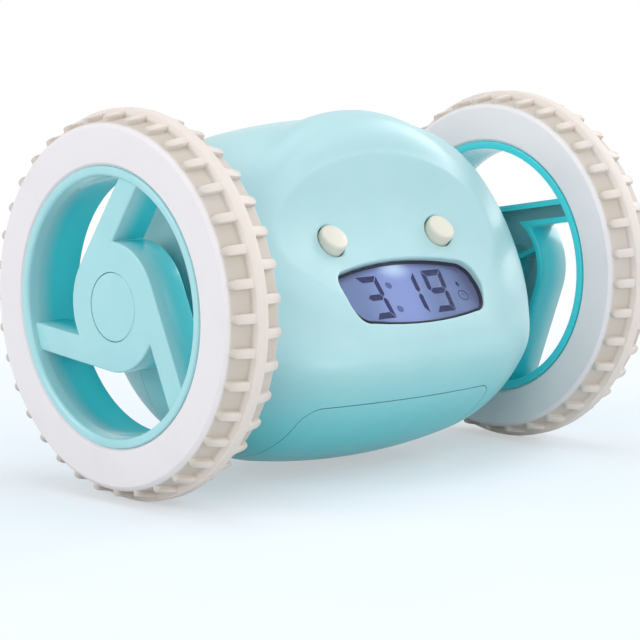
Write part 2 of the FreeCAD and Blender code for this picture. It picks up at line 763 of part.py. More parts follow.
def door_outline(grow):
    """The battery door's outline seen from the front, its upper corners round."""
    level = size("door_level") + grow
    left, right = size("door_left") - grow, size("door_right") + grow
    corner = size("door_round")
    bend = corner * (1 - math.sqrt(0.5))
    return [(left + corner, level), (right - corner, level),
            ((right - bend, level - bend), (right, level - corner)),
            (right, -60.0), (left, -60.0), (left, level - corner),
            ((left + bend, level - bend), (left + corner, level))]


def build_casing():
    """The front and rear shells and the battery door."""
    wall = size("wall")
    outer = build_form("outer", 0.0, 0.0, size("face_round"))
    inner = build_form("inner", wall, wall, 0.0)
    walls = cut("casing_walls", outer, inner)

    openings = [prism("mouth_space", mouth(0.0), FACE, "12", 14.0)]
    for side, word in ((-1, "left"), (1, "right")):
        openings.append(plane_cylinder("eye_hole_" + word, FACE, side * size("eye_spread"),
                                       size("eye_level"), 12.0, 30.0,
                                       "<eye_radius> + <button_gap>"))
        openings.append(x_cylinder("bush_hole_" + word, "4.05", side * 45.0, side * 56.0))
    for name, spot in (("time", TIME_SPOT), ("alarm", ALARM_SPOT)):
        openings.append(plane_cylinder(name + "_hole", REAR, spot[0], spot[1], 34.0, 46.0,
                                       "<button_radius> + <button_gap>"))
    gap = size("button_gap")
    snooze_outline = round_bar(size("snooze_length") + 2 * gap, size("snooze_width") + 2 * gap)
    openings.append(prism("snooze_hole", snooze_outline, shifted(REAR, *SNOOZE_SPOT), "12", 34.0))
    openings.append(plane_box("switch_slot", REAR, (SWITCH_SPOT[0] - 2.3, SWITCH_SPOT[1] - 2.0, 34.0),
                              (SWITCH_SPOT[0] + 6.3, SWITCH_SPOT[1] + 2.0, 46.0)))
    openings.append(plane_cylinder("sound_hole_0", SPEAKER, 0.0, 0.0, 34.0, 46.0, "0.9"))
    for number in range(6):
        angle = math.radians(60.0 * number)
        openings.append(plane_cylinder("sound_hole_%d" % (number + 1), SPEAKER,
                                       5.0 * math.cos(angle), 5.0 * math.sin(angle),
                                       34.0, 46.0, "0.9"))
    open_walls = cut("casing_open", walls, join("casing_openings", openings))
    door_space = prism("door_space", door_outline(0.15), FRONT_VIEW, "160")
    shells = cut("casing_shells", open_walls, door_space)
    parting = size("parting")
    front_space = box("front_space", ("160", "100", "160"), (-80, parting - 100, -80))
    rear_space = box("rear_space", ("160", "100", "160"), (-80, parting + 0.1, -80))

    front_bosses, rear_bosses, front_holes, rear_holes = [], [], [], []
    for number, (x, z) in enumerate(screw_spots()):
        front_bosses.append(y_cylinder("front_boss_%d" % number, "3.2", x, z, 3.0, parting))
        rear_bosses.append(y_cylinder("rear_boss_%d" % number, "3.2", x, z, parting + 0.1, 24.0))
        front_holes.append(y_cylinder("front_thread_%d" % number, "1.15", x, z, 4.0, parting + 1))
        rear_holes.append(y_cylinder("rear_clear_%d" % number, "1.4", x, z, parting - 1, 30.0))
        rear_holes.append(y_cylinder("rear_sink_%d" % number, "2.6", x, z, 13.9, 45.0))
    for side in (-1, 1):
        corner = (min(side * 41.0, side * 48.0), 5.0, -26.6)
        front_bosses.append(box("front_rib_%d" % side, ("7.0", "7.0", "2.0"), corner))
    front = join("front_joined", [common("front_walls", shells, front_space)]
                 + [common("front_boss_in_%d" % n, b, outer) for n, b in enumerate(front_bosses)])
    finish(cut("front_drilled", front, join("front_threads", front_holes)), "front_shell")
    rear = join("rear_joined", [common("rear_walls", shells, rear_space)]
                + [common("rear_boss_in_%d" % n, b, outer) for n, b in enumerate(rear_bosses)])
    finish(cut("rear_drilled", rear, join("rear_sinks", rear_holes)), "rear_shell")

    door_zone = prism("door_zone", door_outline(0.0), FRONT_VIEW, "160")
    x, y = DOOR_SCREW
    post = common("door_post_in", z_cylinder("door_post", "3.4", x, y, -40.0, -27.1), outer)
    door = join("door_joined", [common("door_walls", walls, door_zone), post])
    finish(cut("door_drilled", door, join("door_holes", [
        z_cylinder("door_sink", "2.4", x, y, -45.0, -29.5),
        z_cylinder("door_clear", "1.2", x, y, -45.0, -20.0)])), "battery_door")
    finish(join("door_screw_body", [
        z_cylinder("door_screw_head", "2.2", x, y, -31.1, -29.55),
        z_cylinder("door_screw_stem", "1.0", x, y, -30.0, -23.0)]), "door_screw")
    screws = []
    for number, (x, z) in enumerate(screw_spots()):
        screws.append(join("shell_screw_%d" % number, [
            y_cylinder("shell_screw_head_%d" % number, "2.2", x, z, 13.95, 15.5),
            y_cylinder("shell_screw_stem_%d" % number, "1.1", x, z, 4.5, 14.5)]))
    finish(group("shell_screw_set", screws), "shell_screws")


def build_display():
    """The window, the liquid-crystal panel, its backlight and the main board."""
    top = size("face_height") - size("window_sink")
    back = top - size("window_thickness")
    pane = prism("window_pane", mouth(-0.12), FACE, "%.3f" % (top - 17.9), 17.9)
    rim = prism("window_rim", mouth(1.0), FACE, "0.9", 17.1)
    room = prism("window_room", mouth(-0.12 - size("window_skirt")), FACE, "%.3f" % (back - 17.0), 17.0)
    finish(cut("window_cut", join("window_joined", [pane, rim]), room), "display_window")
    half = size("lcd_half_width")
    plate = plane_box("lcd_plate", FACE, (-half, -27.8, 14.5), (half, -8.2, 17.0))
    glass = prism("lcd_glass", mouth(-0.2 - size("window_skirt")), FACE, "%.3f" % (back - 17.0), 16.9)
    finish(join("lcd_joined", [plate, glass]), "lcd_panel")
    finish(plane_box("backlight_plate", FACE, (-half, -27.8, 12.4), (half, -8.2, 14.3)), "backlight")
    finish(plane_box("board_plate", FACE, (-28.0, -29.0, 10.6), (28.0, 3.0, 12.2)), "main_board")
    chips = [
        plane_box("chip_clock", FACE, (-6.0, -21.0, 8.6), (6.0, -9.0, 10.6)),
        plane_cylinder("chip_capacitor", FACE, 16.0, -12.0, 5.0, 10.6, "3.0"),
        plane_box("chip_crystal", FACE, (-20.0, -16.0, 8.2), (-12.0, -13.0, 10.6)),
    ]
    finish(group("board_chip_set", chips), "board_chips")


def build_eyes():
    """The two round eye buttons, which set the hours and the minutes."""
    switches = []
    level = size("eye_level")
    for side, word in ((-1, "left"), (1, "right")):
        x = side * size("eye_spread")
        cap = plane_cylinder("eye_cap_" + word, FACE, x, level, 17.5, size("eye_top"), "<eye_radius>")
        soft = doc.addObject("Part::Fillet", "eye_soft_" + word)
        soft.Base = cap
        doc.recompute()
        highest = max(range(len(cap.Shape.Edges)),
                      key=lambda n: cap.Shape.Edges[n].BoundBox.ZMax
                      if cap.Shape.Edges[n].Closed and len(cap.Shape.Edges[n].Vertexes) == 1 else -99)
        soft.Edges = [(highest + 1, size("eye_round"), size("eye_round"))]
        collar = plane_cylinder("eye_collar_" + word, FACE, x, level, 16.9, 17.7, "<eye_radius> + 0.9")
        stem = plane_cylinder("eye_stem_" + word, FACE, x, level, 16.7, 17.0, "1.4")
        finish(join("eye_joined_" + word, [soft, collar, stem]), "eye_button_" + word)
        switches.append(join("eye_switch_" + word, [
            plane_box("eye_switch_box_" + word, FACE, (x - 3, level - 3, 12.2), (x + 3, level + 3, 15.6)),
            plane_cylinder("eye_plunger_" + word, FACE, x, level, 15.0, 16.1, "1.6")]))
    finish(group("eye_switch_set", switches), "eye_switches")


def build_rear():
    """The board, switches and buttons at the back, and the speaker."""
    finish(plane_box("rear_plate", REAR, (-25.0, -14.5, 28.5), (25.0, 12.0, 30.1)), "rear_board")
    switches = []
    for name, spot in (("time", TIME_SPOT), ("alarm", ALARM_SPOT), ("snooze", SNOOZE_SPOT)):
        x, w = spot
        switches.append(join(name + "_switch", [
            plane_box(name + "_switch_box", REAR, (x - 3, w - 3, 30.1), (x + 3, w + 3, 33.5)),
            plane_cylinder(name + "_plunger", REAR, x, w, 33.0, 34.0, "1.6")]))
    x, w = SWITCH_SPOT
    switches.append(plane_box("slide_switch_box", REAR, (x - 4, w - 3, 30.1), (x + 8, w + 3, 34.6)))
    finish(group("rear_switch_set", switches), "rear_switches")
    for name, spot in (("time", TIME_SPOT), ("alarm", ALARM_SPOT)):
        x, w = spot
        finish(join(name + "_button_joined", [
            plane_cylinder(name + "_cap", REAR, x, w, 36.0, 42.4, "<button_radius>"),
            plane_cylinder(name + "_collar", REAR, x, w, 35.5, 36.5, "<button_radius> + 0.9"),
            plane_cylinder(name + "_stem", REAR, x, w, 34.7, 36.0, "1.4")]), name + "_button")
    spot = shifted(REAR, *SNOOZE_SPOT)
    finish(join("snooze_button_joined", [
        prism("snooze_cap", round_bar(size("snooze_length"), size("snooze_width")), spot, "6.2", 35.6),
        prism("snooze_collar", round_bar(size("snooze_length") + 1.4, size("snooze_width") + 1.4), spot,
              "1.0", 34.9),
        plane_cylinder("snooze_stem", REAR, SNOOZE_SPOT[0], SNOOZE_SPOT[1], 34.7, 35.5, "1.4")]),
        "snooze_button")
    x, w = SWITCH_SPOT
    finish(join("switch_knob_joined", [
        plane_box("knob_grip", REAR, (x - 2, w - 1.7, 36.0), (x + 2, w + 1.7, 42.2)),
        plane_box("knob_plate", REAR, (x - 4, w - 2.8, 35.6), (x + 4, w + 2.8, 36.4)),
        plane_box("knob_stem", REAR, (x - 1, w - 1.0, 34.8), (x + 1, w + 1.0, 36.0))]),
        "wheel_switch")
    cone = plane_cylinder("speaker_basket", SPEAKER, 0, 0, 31.0, 35.6, "<speaker_radius>")
    magnet = plane_cylinder("speaker_magnet", SPEAKER, 0, 0, 26.5, 31.5, "6.5")
    finish(join("speaker_joined", [cone, magnet]), "speaker")


def coil(radius, wire, turns):
    """A contact spring standing on its own origin: closed turns that narrow upwards."""
    rings = [Part.makeTorus(radius - 0.4 * n, wire, V(0, 0, 0.7 * n)) for n in range(turns)]
    return rings[0].multiFuse(rings[1:])


def build_batteries():
    """Four cells side by side in a tray, with their contacts and springs."""
    level = size("cell_level")
    pitch = size("cell_pitch")
    middle = size("barrel_back")
    length = size("cell_length")
    rows = [middle + pitch * (n - 1.5) for n in range(4)]
    cells, wells, plates, coils = [], [], [], []
    for number, y in enumerate(rows):
        way = 1 if number % 2 == 0 else -1
        start, stop = -way * (length / 2 - 1.0), way * (length / 2 - 1.0)
        cells.append(join("cell_%d" % number, [
            x_cylinder("cell_can_%d" % number, "<cell_radius>", start, stop, y, level),
            x_cylinder("cell_nub_%d" % number, "1.9", stop - way * 0.5, stop + way * 0.9, y, level)]))
        wells.append(x_cylinder("well_round_%d" % number, "<cell_radius> + 0.2", -24.5, 24.5, y, level))
        wells.append(box("well_mouth_%d" % number, ("49.0", "<cell_radius> * 2 + 0.4", "20"),
                         (-24.5, y - size("cell_radius") - 0.2, level - 20)))
        for side in (-1, 1):
            x = 24.4 if side > 0 else -24.4
            plates.append(box("contact_%d_%d" % (number, side), ("0.4", "7.4", "7.4"),
                              (min(x, x - side * 0.4), y - 3.7, level - 3.7)))
        turn = FreeCAD.Rotation(V(0, 0, 1), V(way, 0, 0))
        one = coil(3.0, 0.45, 4)
        one.Placement = FreeCAD.Placement(V(-way * 23.55, y, level), turn)
        coils.append(one)
    low = middle - 22.8
    tray = box("tray_block", ("55.0", "45.6", "8.4"), (-27.5, low, -29.0))
    lug = box("tray_lug", ("8.0", "6.8", "4.0"), (-4.0, middle + 22.0, -27.0))
    thread = z_cylinder("tray_thread", "1.05", DOOR_SCREW[0], DOOR_SCREW[1], -30.0, -20.0)
    finish(cut("tray_cut", join("tray_joined", [tray, lug]), join("tray_wells", wells + [thread])),
           "battery_tray")
    finish(group("cell_set", cells), "battery_cells")
    finish(group("contact_set", plates), "battery_contacts")
    springs = doc.addObject("Part::Feature", "spring_set")
    springs.Shape = Part.makeCompound(coils)
    finish(springs, "battery_springs")


# each wheel's side, name, and the angles of its first spoke and first lug
WHEELS = ((-1, "left", 55.0, -1.7), (1, "right", 9.4, -3.5))

build_casing()
build_display()
build_eyes()
build_rear()
build_batteries()
for side, word, first_spoke, first_lug in WHEELS:
    build_wheel(side, word, first_spoke, first_lug)
    build_drive(side, word)
doc.recompute()

for item in doc.Objects:
    if "Invalid" in item.State or "Error" in item.State:
        raise RuntimeError("%s is %s" % (item.Name, item.State))
os.makedirs("parts", exist_ok=True)
for item in finished:
    shape = item.Shape
    if shape.isNull() or not shape.isValid() or not shape.Solids:
        raise RuntimeError("%s has no sound shape" % item.Label)
    shape.exportStep("parts/%s.step" % item.Label)
    box_of = shape.BoundBox
    print("%-20s solids %2d volume %9.1f  x %6.1f %6.1f  y %6.1f %6.1f  z %6.1f %6.1f" % (
        item.Label, len(shape.Solids), shape.Volume, box_of.XMin, box_of.XMax,
        box_of.YMin, box_of.YMax, box_of.ZMin, box_of.ZMax))
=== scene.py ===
"""Dresses the runaway alarm clock: an aqua casing between two white-tyred wheels.

Lengths are millimetres in the axle's own frame, with X along the axle, the face
towards -Y and Z up, except where a docstring says metres.  Meshes are in metres.
"""
import logging
import math
from dataclasses import dataclass, field
from enum import Enum
from typing import Callable, ClassVar, Optional, Sequence

import bpy
import numpy as np
from mathutils import Matrix, Vector


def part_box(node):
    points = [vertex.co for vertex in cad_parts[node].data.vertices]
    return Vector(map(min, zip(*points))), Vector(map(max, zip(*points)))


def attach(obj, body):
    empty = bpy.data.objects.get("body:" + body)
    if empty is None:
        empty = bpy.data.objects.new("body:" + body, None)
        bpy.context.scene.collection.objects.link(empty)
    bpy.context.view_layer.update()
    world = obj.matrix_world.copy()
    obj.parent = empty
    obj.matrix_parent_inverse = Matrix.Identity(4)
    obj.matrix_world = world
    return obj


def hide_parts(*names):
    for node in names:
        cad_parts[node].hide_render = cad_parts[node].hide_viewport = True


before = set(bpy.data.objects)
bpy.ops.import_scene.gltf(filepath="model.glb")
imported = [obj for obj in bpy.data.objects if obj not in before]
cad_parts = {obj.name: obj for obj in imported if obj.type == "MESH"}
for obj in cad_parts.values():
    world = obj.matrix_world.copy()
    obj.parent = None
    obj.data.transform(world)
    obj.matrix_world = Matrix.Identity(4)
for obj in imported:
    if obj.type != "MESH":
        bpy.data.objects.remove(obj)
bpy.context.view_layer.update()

LOG = logging.getLogger("runaway_clock")
MM = 0.001
_low, _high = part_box("tyre_left")
AXLE_HEIGHT = (_low.z + _high.z) / 2 / MM
HALF_WIDTH = -_low.x / MM

Point2 = tuple[float, float]
Point3 = tuple[float, float, float]
Colour = tuple[float, float, float]
Loop = Sequence[Sequence[float]]
Solid = bpy.types.Object


# ------------------------------------------------------------------ geometry

@dataclass(frozen=True)
class Plane:
    """A tilted plane in the axle's frame, turned about X from level."""

    turn: float
    origin: Point2 = (0.0, 0.0)

    def point(self, x: float, w: float, h: float) -> Point3:
        """A point across, along and above the plane, in the axle's frame."""
        c, s = math.cos(math.radians(self.turn)), math.sin(math.radians(self.turn))
        return (x, self.origin[0] + w * c - h * s, self.origin[1] + w * s + h * c)

    def normal(self) -> Vector:
        """The plane's outward direction."""
        return Vector((0.0, -math.sin(math.radians(self.turn)), math.cos(math.radians(self.turn))))


def circle_through(a: Point2, b: Point2, c: Point2) -> Optional[Point3]:
    """The circle through three points.

    Args:
        a, b, c: The points.

    Returns:
        Its middle and radius, or None where the points are in line.
    """
    (ax, ay), (bx, by), (cx, cy) = a, b, c
    d = 2 * (ax * (by - cy) + bx * (cy - ay) + cx * (ay - by))
    if abs(d) < 1e-9:
        return None
    ux = ((ax**2 + ay**2) * (by - cy) + (bx**2 + by**2) * (cy - ay) + (cx**2 + cy**2) * (ay - by)) / d
    uy = ((ax**2 + ay**2) * (cx - bx) + (bx**2 + by**2) * (ax - cx) + (cx**2 + cy**2) * (bx - ax)) / d
    return ux, uy, math.hypot(ax - ux, ay - uy)


def arc_through(a: Point2, b: Point2, c: Point2, steps: int) -> list[Point2]:
    """Points of the arc from a through b to c.

    Args:
        a, b, c: The arc's start, a point on it, and its end.
        steps: How many chords the arc is drawn with.

    Returns:
        The points after a, up to and with c.
    """
    found = circle_through(a, b, c)
    if found is None:
        return [(a[0] + (c[0] - a[0]) * n / steps, a[1] + (c[1] - a[1]) * n / steps)
                for n in range(1, steps + 1)]
    x, y, radius = found
    start, middle, stop = (math.atan2(p[1] - y, p[0] - x) for p in (a, b, c))
    middle, stop = (middle - start) % math.tau, (stop - start) % math.tau
    if middle > stop:
        stop -= math.tau
    return [(x + radius * math.cos(start + stop * n / steps),
             y + radius * math.sin(start + stop * n / steps)) for n in range(1, steps + 1)]


def rounded(corners: Sequence[Point3], steps: int = 4) -> list[Point2]:
    """A closed outline with its corners turned into arcs.

    Args:
        corners: Each corner with the radius of its arc, 0 for a sharp one.
        steps: How many chords each arc is drawn with.

    Returns:
        The outline's points.
    """
    points: list[Point2] = []
    count = len(corners)
    for n, (x, y, radius) in enumerate(corners):
        here = Vector((x, y))
        back = Vector(corners[n - 1][:2]) - here
        ahead = Vector(corners[(n + 1) % count][:2]) - here
        if radius <= 0:
            points.append((x, y))
            continue
        half = back.angle(ahead) / 2
        reach = min(radius / math.tan(half), 0.49 * back.length, 0.49 * ahead.length)
        first = here + back.normalized() * reach
        last = here + ahead.normalized() * reach
        bisector = (back.normalized() + ahead.normalized()).normalized()
        centre = here + bisector * (reach / math.cos(half))
        middle = centre + (here - centre).normalized() * (first - centre).length
        points.append(tuple(first))
        points.extend(arc_through(tuple(first), tuple(middle), tuple(last), steps))
    return points


def grown(outline: Sequence[Point2], margin: float) -> list[Point2]:
    """An outline moved outwards along its own normals.

    Args:
        outline: The closed outline's points, either way round.
        margin: How far it moves, negative for inwards.

    Returns:
        The moved points, in the same order.
    """
    points = np.array(outline, float)
    area = np.sum(points[:, 0] * np.roll(points[:, 1], -1) - points[:, 1] * np.roll(points[:, 0], -1))
    tangent = np.roll(points, -1, 0) - np.roll(points, 1, 0)
    normal = np.stack([tangent[:, 1], -tangent[:, 0]], 1) * np.sign(area)
    normal /= np.linalg.norm(normal, axis=1)[:, None]
    return [tuple(p) for p in points + normal * margin]


def circle(x: float, w: float, radius: float, steps: int = 48) -> list[Point2]:
    """A circle as points, drawn anticlockwise."""
    return [(x + radius * math.cos(math.tau * n / steps),
             w + radius * math.sin(math.tau * n / steps)) for n in range(steps)]


def bar(spot: Point2, length: float, width: float, corner: float) -> list[Point2]:
    """The outline of a bar with rounded corners about its middle."""
    (x, w), a, b = spot, length / 2, width / 2
    return rounded([(x + i * a, w + j * b, corner) for i, j in ((-1, -1), (1, -1), (1, 1), (-1, 1))], 8)


def bisect(level: Callable[[np.ndarray], np.ndarray], low: np.ndarray, high: np.ndarray,
           steps: int) -> np.ndarray:
    """Where rising levels cross zero, found by halving.

    Args:
        level: The levels at an array of places.
        low, high: Places on either side of each crossing.
        steps: How often the span is halved.

    Returns:
        The crossings.
    """
    for _ in range(steps):
        middle = (low + high) / 2
        out = level(middle) > 0
        high = np.where(out, middle, high)
        low = np.where(out, low, middle)
    return (low + high) / 2


def metres(points: np.ndarray) -> np.ndarray:
    """Points of the axle's frame in millimetres, as metres above the floor."""
    return (np.asarray(points, float) + np.array([0.0, 0.0, AXLE_HEIGHT])) * MM


# ---------------------------------------------------------------- the bench

class Bench:
    """The hand tools: each makes or shapes one mesh object."""

    @staticmethod
    def clear() -> None:
        """Deselect everything before a tool is used."""
        if bpy.context.object and bpy.context.object.mode != "OBJECT":
            bpy.ops.object.mode_set(mode="OBJECT")
        bpy.ops.object.select_all(action="DESELECT")

    @staticmethod
    def take(obj: Solid) -> Solid:
        """Select one object alone and make it active.

        Args:
            obj: The object.

        Returns:
            The same object.
        """
        Bench.clear()
        obj.select_set(True)
        bpy.context.view_layer.objects.active = obj
        return obj

    @staticmethod
    def set_points(obj: Solid, points: np.ndarray) -> None:
        """Move an object's vertices, given in their own order."""
        obj.data.vertices.foreach_set("co", np.asarray(points, np.float32).ravel())
        obj.data.update()

    @staticmethod
    def points(obj: Solid) -> np.ndarray:
        """An object's vertices."""
        out = np.zeros(len(obj.data.vertices) * 3, np.float32)
        obj.data.vertices.foreach_get("co", out)
        return out.reshape(-1, 3).astype(float)

    @staticmethod
    def repair(obj: Solid, merge: float = 1e-6) -> Solid:
        """Merge doubled vertices and turn every face outwards.

        Args:
            obj: The object.
            merge: Vertices nearer than this, in metres, become one.

        Returns:
            The object.
        """
        Bench.take(obj)
        bpy.ops.object.mode_set(mode="EDIT")
        bpy.ops.mesh.select_all(action="SELECT")
        bpy.ops.mesh.remove_doubles(threshold=merge)
        bpy.ops.mesh.normals_make_consistent(inside=False)
        bpy.ops.object.mode_set(mode="OBJECT")
        return obj

    @staticmethod
    def lathe(name: str, profile: Sequence[Point2], origin: Sequence[float], axis: Vector,
              steps: int = 96) -> Solid:
        """Turn a closed profile about an axis.

        Args:
            name: The new object's name.
            profile: Closed outline as (position along the axis, radius).
            origin: A point on the axis, in the axle's frame.
            axis: The axis's direction.
            steps: Segments round the turn.

        Returns:
            The turned object, its faces outwards.
        """
        Bench.clear()
        bpy.ops.mesh.primitive_torus_add(major_segments=steps, minor_segments=len(profile))
        obj = bpy.context.object
        obj.name = name
        axis = axis.normalized()
        side = axis.orthogonal().normalized()
        other = axis.cross(side)
        angles = np.arange(steps) * math.tau / steps
        ring = (np.cos(angles)[:, None] * np.array(side) + np.sin(angles)[:, None] * np.array(other))
        line = np.array(profile, float)
        points = (np.array(origin, float) + line[None, :, 0, None] * np.array(axis)
                  + line[None, :, 1, None] * ring[:, None, :])
        Bench.set_points(obj, metres(points.reshape(-1, 3)))
        return Bench.repair(obj)

    @staticmethod
    def stack(name: str, loops: Sequence[Loop]) -> Solid:
        """Extrude a filled outline through a row of loops.

        Args:
            name: The new object's name.
            loops: Loops with the same number of points, in the axle's frame.

        Returns:
            The closed solid, its faces outwards.
        """
        Bench.clear()
        count = len(loops[0])
        bpy.ops.mesh.primitive_cylinder_add(vertices=count, end_fill_type="NGON")
        obj = bpy.context.object
        obj.name = name
        start = Bench.points(obj)
        low = [n for n in range(len(start)) if start[n][2] < 0]
        high = [n for n in range(len(start)) if start[n][2] > 0]
        turn = {n: math.atan2(start[n][0], start[n][1]) % math.tau for n in low + high}
        low.sort(key=lambda n: round(turn[n], 5))
        high.sort(key=lambda n: round(turn[n], 5))
        for number, loop in enumerate(loops[1:]):
            here = Bench.points(obj)
            target = metres(np.array(loop))
            if number == 0:
                here[low] = metres(np.array(loops[0]))
                here[high] = target
                Bench.set_points(obj, here)
                bpy.ops.object.mode_set(mode="EDIT")
                bpy.ops.mesh.select_all(action="DESELECT")
                bpy.ops.object.mode_set(mode="OBJECT")
                cap = next(p for p in obj.data.polygons if set(p.vertices) == set(high))
                cap.select = True
                continue
            bpy.ops.object.mode_set(mode="EDIT")
            bpy.ops.mesh.extrude_region_move()
            bpy.ops.object.mode_set(mode="OBJECT")
            new = [v.index for v in obj.data.vertices if v.select]
            after = Bench.points(obj)
            last = metres(np.array(loops[number]))
            for index in new:
                after[index] = target[int(np.argmin(np.sum((last - after[index]) ** 2, 1)))]
            Bench.set_points(obj, after)
        return Bench.repair(obj)

    @staticmethod
    def block(name: str, plane: Plane, low: Sequence[float], high: Sequence[float]) -> Solid:
        """A block on a tilted plane.

        Args:
            name: The new object's name.
            plane: The plane whose axes the block follows.
            low, high: Its two far corners, across, along and above the plane.

        Returns:
            The block.
        """
        Bench.clear()
        bpy.ops.mesh.primitive_cube_add(size=2)
        obj = bpy.context.object
        obj.name = name
        middle = (np.array(low, float) + np.array(high, float)) / 2
        half = (np.array(high, float) - np.array(low, float)) / 2
        local = middle + Bench.points(obj) * half
        Bench.set_points(obj, metres(np.array([plane.point(*p) for p in local])))
        return obj

    @staticmethod
    def modify(obj: Solid, kind: str, **settings: object) -> Solid:
        """Add a modifier, set it and apply it.

        Args:
            obj: The object.
            kind: The modifier's type.
            **settings: The modifier's properties.

        Returns:
            The object.
        """
        Bench.take(obj)
        made = obj.modifiers.new(kind.lower(), kind)
        for key, value in settings.items():
            setattr(made, key, value)
        bpy.ops.object.modifier_apply(modifier=made.name)
        return obj

    @staticmethod
    def bevel(obj: Solid, width: float, segments: int = 3, angle: float = 40.0) -> Solid:
        """Round an object's edges sharper than an angle, by a width in millimetres."""
        return Bench.modify(obj, "BEVEL", width=width * MM, segments=segments, limit_method="ANGLE",
                            angle_limit=math.radians(angle), use_clamp_overlap=True)

    @staticmethod
    def boolean(obj: Solid, tool: Solid, operation: str) -> Solid:
        """Cut, join or intersect with a tool, which is used up."""
        Bench.modify(obj, "BOOLEAN", object=tool, operation=operation, solver="MANIFOLD")
        bpy.data.objects.remove(tool)
        return obj

    @staticmethod
    def cut(obj: Solid, *tools: Solid) -> Solid:
        """Cut an object with each of several tools."""
        for tool in tools:
            Bench.boolean(obj, tool, "DIFFERENCE")
        return obj

    @staticmethod
    def join(objects: Sequence[Solid], name: str) -> Solid:
        """Make several objects one.

        Args:
            objects: The objects, of which the first is kept.
            name: Its new name.

        Returns:
            The joined object.
        """
        Bench.clear()
        for obj in objects:
            obj.select_set(True)
        bpy.context.view_layer.objects.active = objects[0]
        bpy.ops.object.join()
        objects[0].name = name
        return objects[0]

    @staticmethod
    def copy(obj: Solid, matrix: Matrix) -> Solid:
        """A copy with its own mesh.

        Args:
            obj: The object to copy.
            matrix: How the copy's mesh is moved.

        Returns:
            The copy.
        """
        made = obj.copy()
        made.data = obj.data.copy()
        made.data.transform(matrix)
        bpy.context.scene.collection.objects.link(made)
        return made

    @staticmethod
    def smooth(obj: Solid, angle: float = 35.0) -> Solid:
        """Shade smooth but for edges sharper than an angle."""
        Bench.take(obj)
        bpy.ops.object.shade_smooth_by_angle(angle=math.radians(angle))
        return obj


def dress(obj: Solid, material: bpy.types.Material, body: str, slot: str,
          nodes: Sequence[str] = (), angle: float = 35.0) -> Solid:
    """Give a finished piece its material, shading and body.

    Args:
        obj: The finished piece.
        material: Its material.
        body: The CAD body it moves with.
        slot: Name of a material slot; not used.
        nodes: The CAD nodes it stands for.
        angle: Edges sharper than this stay sharp in the shading.

    Returns:
        The piece.
    """
    Bench.smooth(obj, angle)
    obj.data.materials.clear()
    obj.data.materials.append(material)
    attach(obj, body)
    if nodes:
        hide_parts(*nodes)
    LOG.info("%s: %d faces on %s", obj.name, len(obj.data.polygons), body)
    return obj


# ------------------------------------------------------------------- shaders

def srgb(red: float, green: float, blue: float) -> tuple[float, float, float, float]:
    """A display colour from 0 to 255, as the linear colour a socket takes."""
    levels = (value / 255.0 for value in (red, green, blue))
    return (*(v / 12.92 if v <= 0.04045 else ((v + 0.055) / 1.055) ** 2.4 for v in levels), 1.0)


class Num:
    """A number that varies over the surface; arithmetic adds Math nodes."""

    def __init__(self, shader: "Shader", socket: bpy.types.NodeSocket) -> None:
        """Wrap an output socket."""
        self.shader = shader
        self.socket = socket

    def _math(self, operation: str, *values: object) -> "Num":
        """Add a Math node of an operation."""
        node = self.shader.node("ShaderNodeMath", {"operation": operation}, dict(enumerate(values)))
        return Num(self.shader, node.outputs[0])

    def __add__(self, other: object) -> "Num":
        """Sum."""
        return self._math("ADD", self, other)

    __radd__ = __add__

    def __sub__(self, other: object) -> "Num":
        """Difference."""
        return self._math("SUBTRACT", self, other)

    def __rsub__(self, other: object) -> "Num":
        """Difference from a number."""
        return self._math("SUBTRACT", other, self)

    def __mul__(self, other: object) -> "Num":
        """Product."""
        return self._math("MULTIPLY", self, other)

    __rmul__ = __mul__

    def __truediv__(self, other: object) -> "Num":
        """Quotient."""
        return self._math("DIVIDE", self, other)

    def root(self) -> "Num":
        """Square root."""
        return self._math("SQRT", self)

    def above(self, limit: float) -> "Num":
        """1 where the number is above a limit, else 0."""
        return self._math("GREATER_THAN", self, limit)

    def size(self) -> "Num":
        """Absolute value."""
        return self._math("ABSOLUTE", self)

    def wave(self) -> "Num":
        """Sine."""
        return self._math("SINE", self)

    def least(self, other: object) -> "Num":
        """The smaller of two."""
        return self._math("MINIMUM", self, other)

    def fade(self, low: float, high: float) -> "Num":
        """Step smoothly between two limits.

        Args:
            low: Where the step starts, at 0.
            high: Where it ends, at 1.

        Returns:
            The step's value.
        """
        node = self.shader.node("ShaderNodeMapRange",
                                {"interpolation_type": "SMOOTHSTEP", "clamp": True},
                                {"Value": self, "From Min": low, "From Max": high})
        return Num(self.shader, node.outputs[0])


